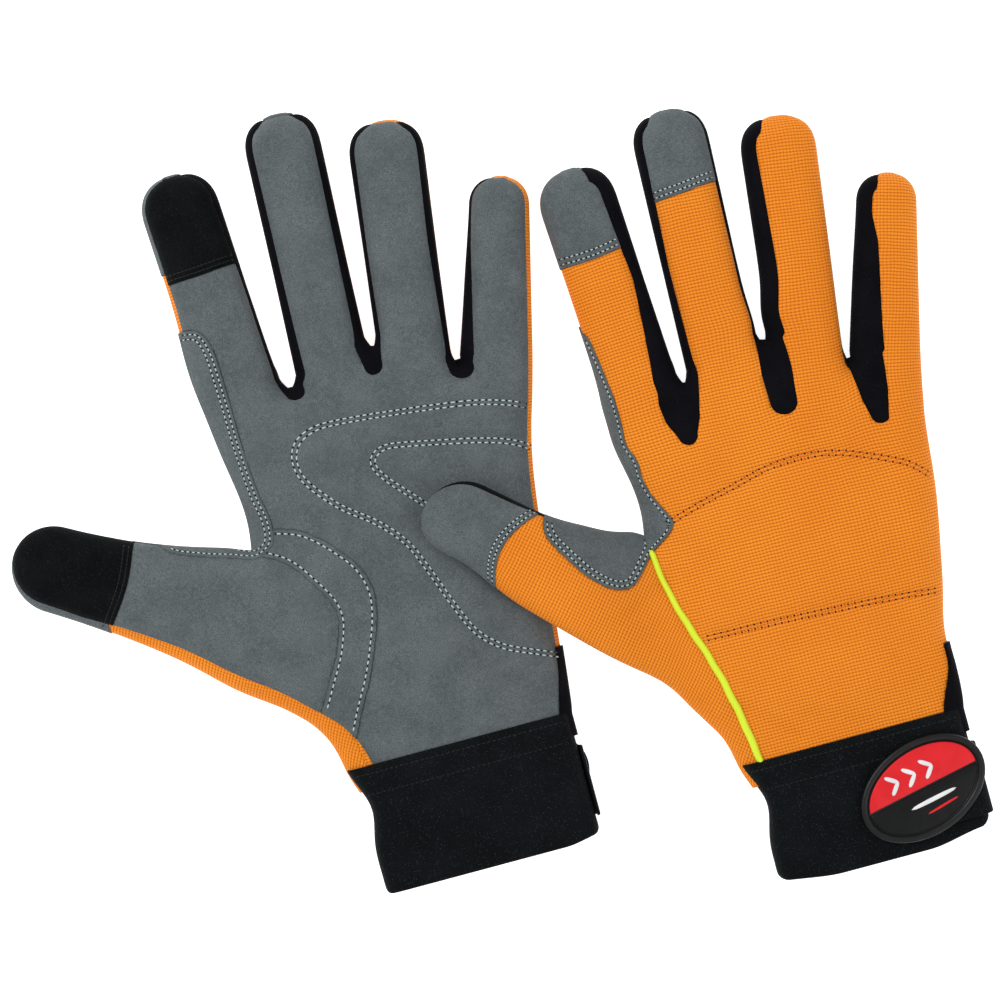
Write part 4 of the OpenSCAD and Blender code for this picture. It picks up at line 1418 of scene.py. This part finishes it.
def foam_pad(g, name, plan, z0, z1, mats, node):
    """A thin sheet of foam inside the glove, with soft edges."""
    plan = resample(np.vstack([plan, plan[:1]]), 2.5)[0][:-1]
    centre = plan.mean(0)
    z_mid, h = (z0 + z1) / 2, (z1 - z0) / 2
    edge = ((0.985, -1), (1.0, -0.3), (1.0, 0.3), (0.985, 1))
    co, faces = stack_rings([at_height(centre + (plan - centre) * s, z_mid + h * k) for s, k in edge])
    obj = make(f"{SIDES[g]}_{name}", g, co, faces, mats["foam"], "glove", (node,))


def paddings(g, mats):
    """Foam under the C of the palm and between the seams of the back."""
    c_shape = np.vstack([palm_c_outer()[8:-8], palm_c_inner()[::-1][8:-8]])
    foam_pad(g, "palm_foam", c_shape, -5.7, -4.6, mats, "palm_padding")
    plate = np.vstack([knuckle_seam()[6:-8], mid_back_seam()[::-1][4:-6]])
    foam_pad(g, "back_foam", plate, 4.6, 5.7, mats, "back_padding")


# ---- Studio ----

def studio(mats):
    """White floor, two soft lamps and a camera that looks straight down."""
    scene = bpy.context.scene
    scene.view_settings.view_transform = "Standard"
    world = bpy.data.worlds.new("studio")
    scene.world = world
    world.use_nodes = True
    world.node_tree.nodes["Background"].inputs["Color"].default_value = (1, 1, 1, 1)
    world.node_tree.nodes["Background"].inputs["Strength"].default_value = 0.72

    mesh = bpy.data.meshes.new("floor")
    corners = [(x, y, -0.0003) for x, y in ((-3, -3), (3, -3), (3, 3), (-3, 3))]
    mesh.from_pydata(corners, [], [(0, 1, 2, 3)])
    mesh.materials.append(mats["floor"])
    floor = bpy.data.objects.new("floor", mesh)
    scene.collection.objects.link(floor)

    def lamp(name, energy, size, where):
        light = bpy.data.lights.new(name, "AREA")
        light.energy = energy
        light.size = size
        obj = bpy.data.objects.new(name, light)
        scene.collection.objects.link(obj)
        obj.location = where
        obj.rotation_euler = (Vector((0, 0, 0)) - Vector(where)).to_track_quat("-Z", "Y").to_euler()

    lamp("key", 9, 0.7, (-0.7, 0.75, 1.1))
    lamp("fill", 4, 1.2, (0.8, -0.7, 1.2))

    camera = bpy.data.cameras.new("camera")
    camera.lens = 100
    camera.sensor_width = 36
    obj = bpy.data.objects.new("camera", camera)
    scene.collection.objects.link(obj)
    view_width = 0.320
    obj.location = (0.0006, 0.003, view_width * camera.lens / camera.sensor_width + 0.007)
    obj.rotation_euler = (0, 0, math.radians(-15))
    scene.camera = obj


def materials():
    return {
        "orange_knit": orange_knit(),
        "grey_suede": grey_suede(),
        "black_stretch": black_stretch(),
        "touch_fabric": touch_fabric(),
        "black_elastic": black_elastic(),
        "lime_piping": lime_piping(),
        "foam": foam(),
        "thread_mint": thread("thread_mint", srgb(200, 217, 215), srgb(150, 168, 168)),
        "thread_orange": thread("thread_orange", srgb(214, 96, 14), srgb(150, 62, 8)),
        "thread_black": thread("thread_black", srgb(5, 7, 8), srgb(2, 3, 4)),
        # Painted shade inside the needle holes.
        "needle_hole_shade": pile("needle_hole_shade", srgb(14, 12, 12), srgb(5, 5, 6)),
        "hook_pile": pile("hook_pile", srgb(16, 16, 18), srgb(46, 46, 50)),
        "loop_pile": pile("loop_pile", srgb(7, 8, 10), srgb(26, 28, 31)),
        "badge_rubber": rubber("badge_rubber", srgb(5, 6, 7), srgb(12, 13, 15), 0.36, 0.3),
        "badge_red": rubber("badge_red", srgb(222, 24, 34), srgb(214, 18, 28), 0.42, 0.3),
        "badge_black": rubber("badge_black", srgb(4, 5, 6), srgb(9, 10, 11), 0.4, 0.2),
        "badge_white": rubber("badge_white", srgb(236, 236, 236), srgb(224, 224, 226), 0.45),
        "floor": floor_paper(),
    }


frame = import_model()
mats = materials()
studio(mats)
for glove in (LEFT, RIGHT):
    outer = glove_panels(glove, mats)
    sewing = sew_glove(glove, outer, mats)
    piping(glove, sewing, mats)
    paddings(glove, mats)
    cuff(glove, mats)
    closure(glove, mats)
    badge(glove, mats)
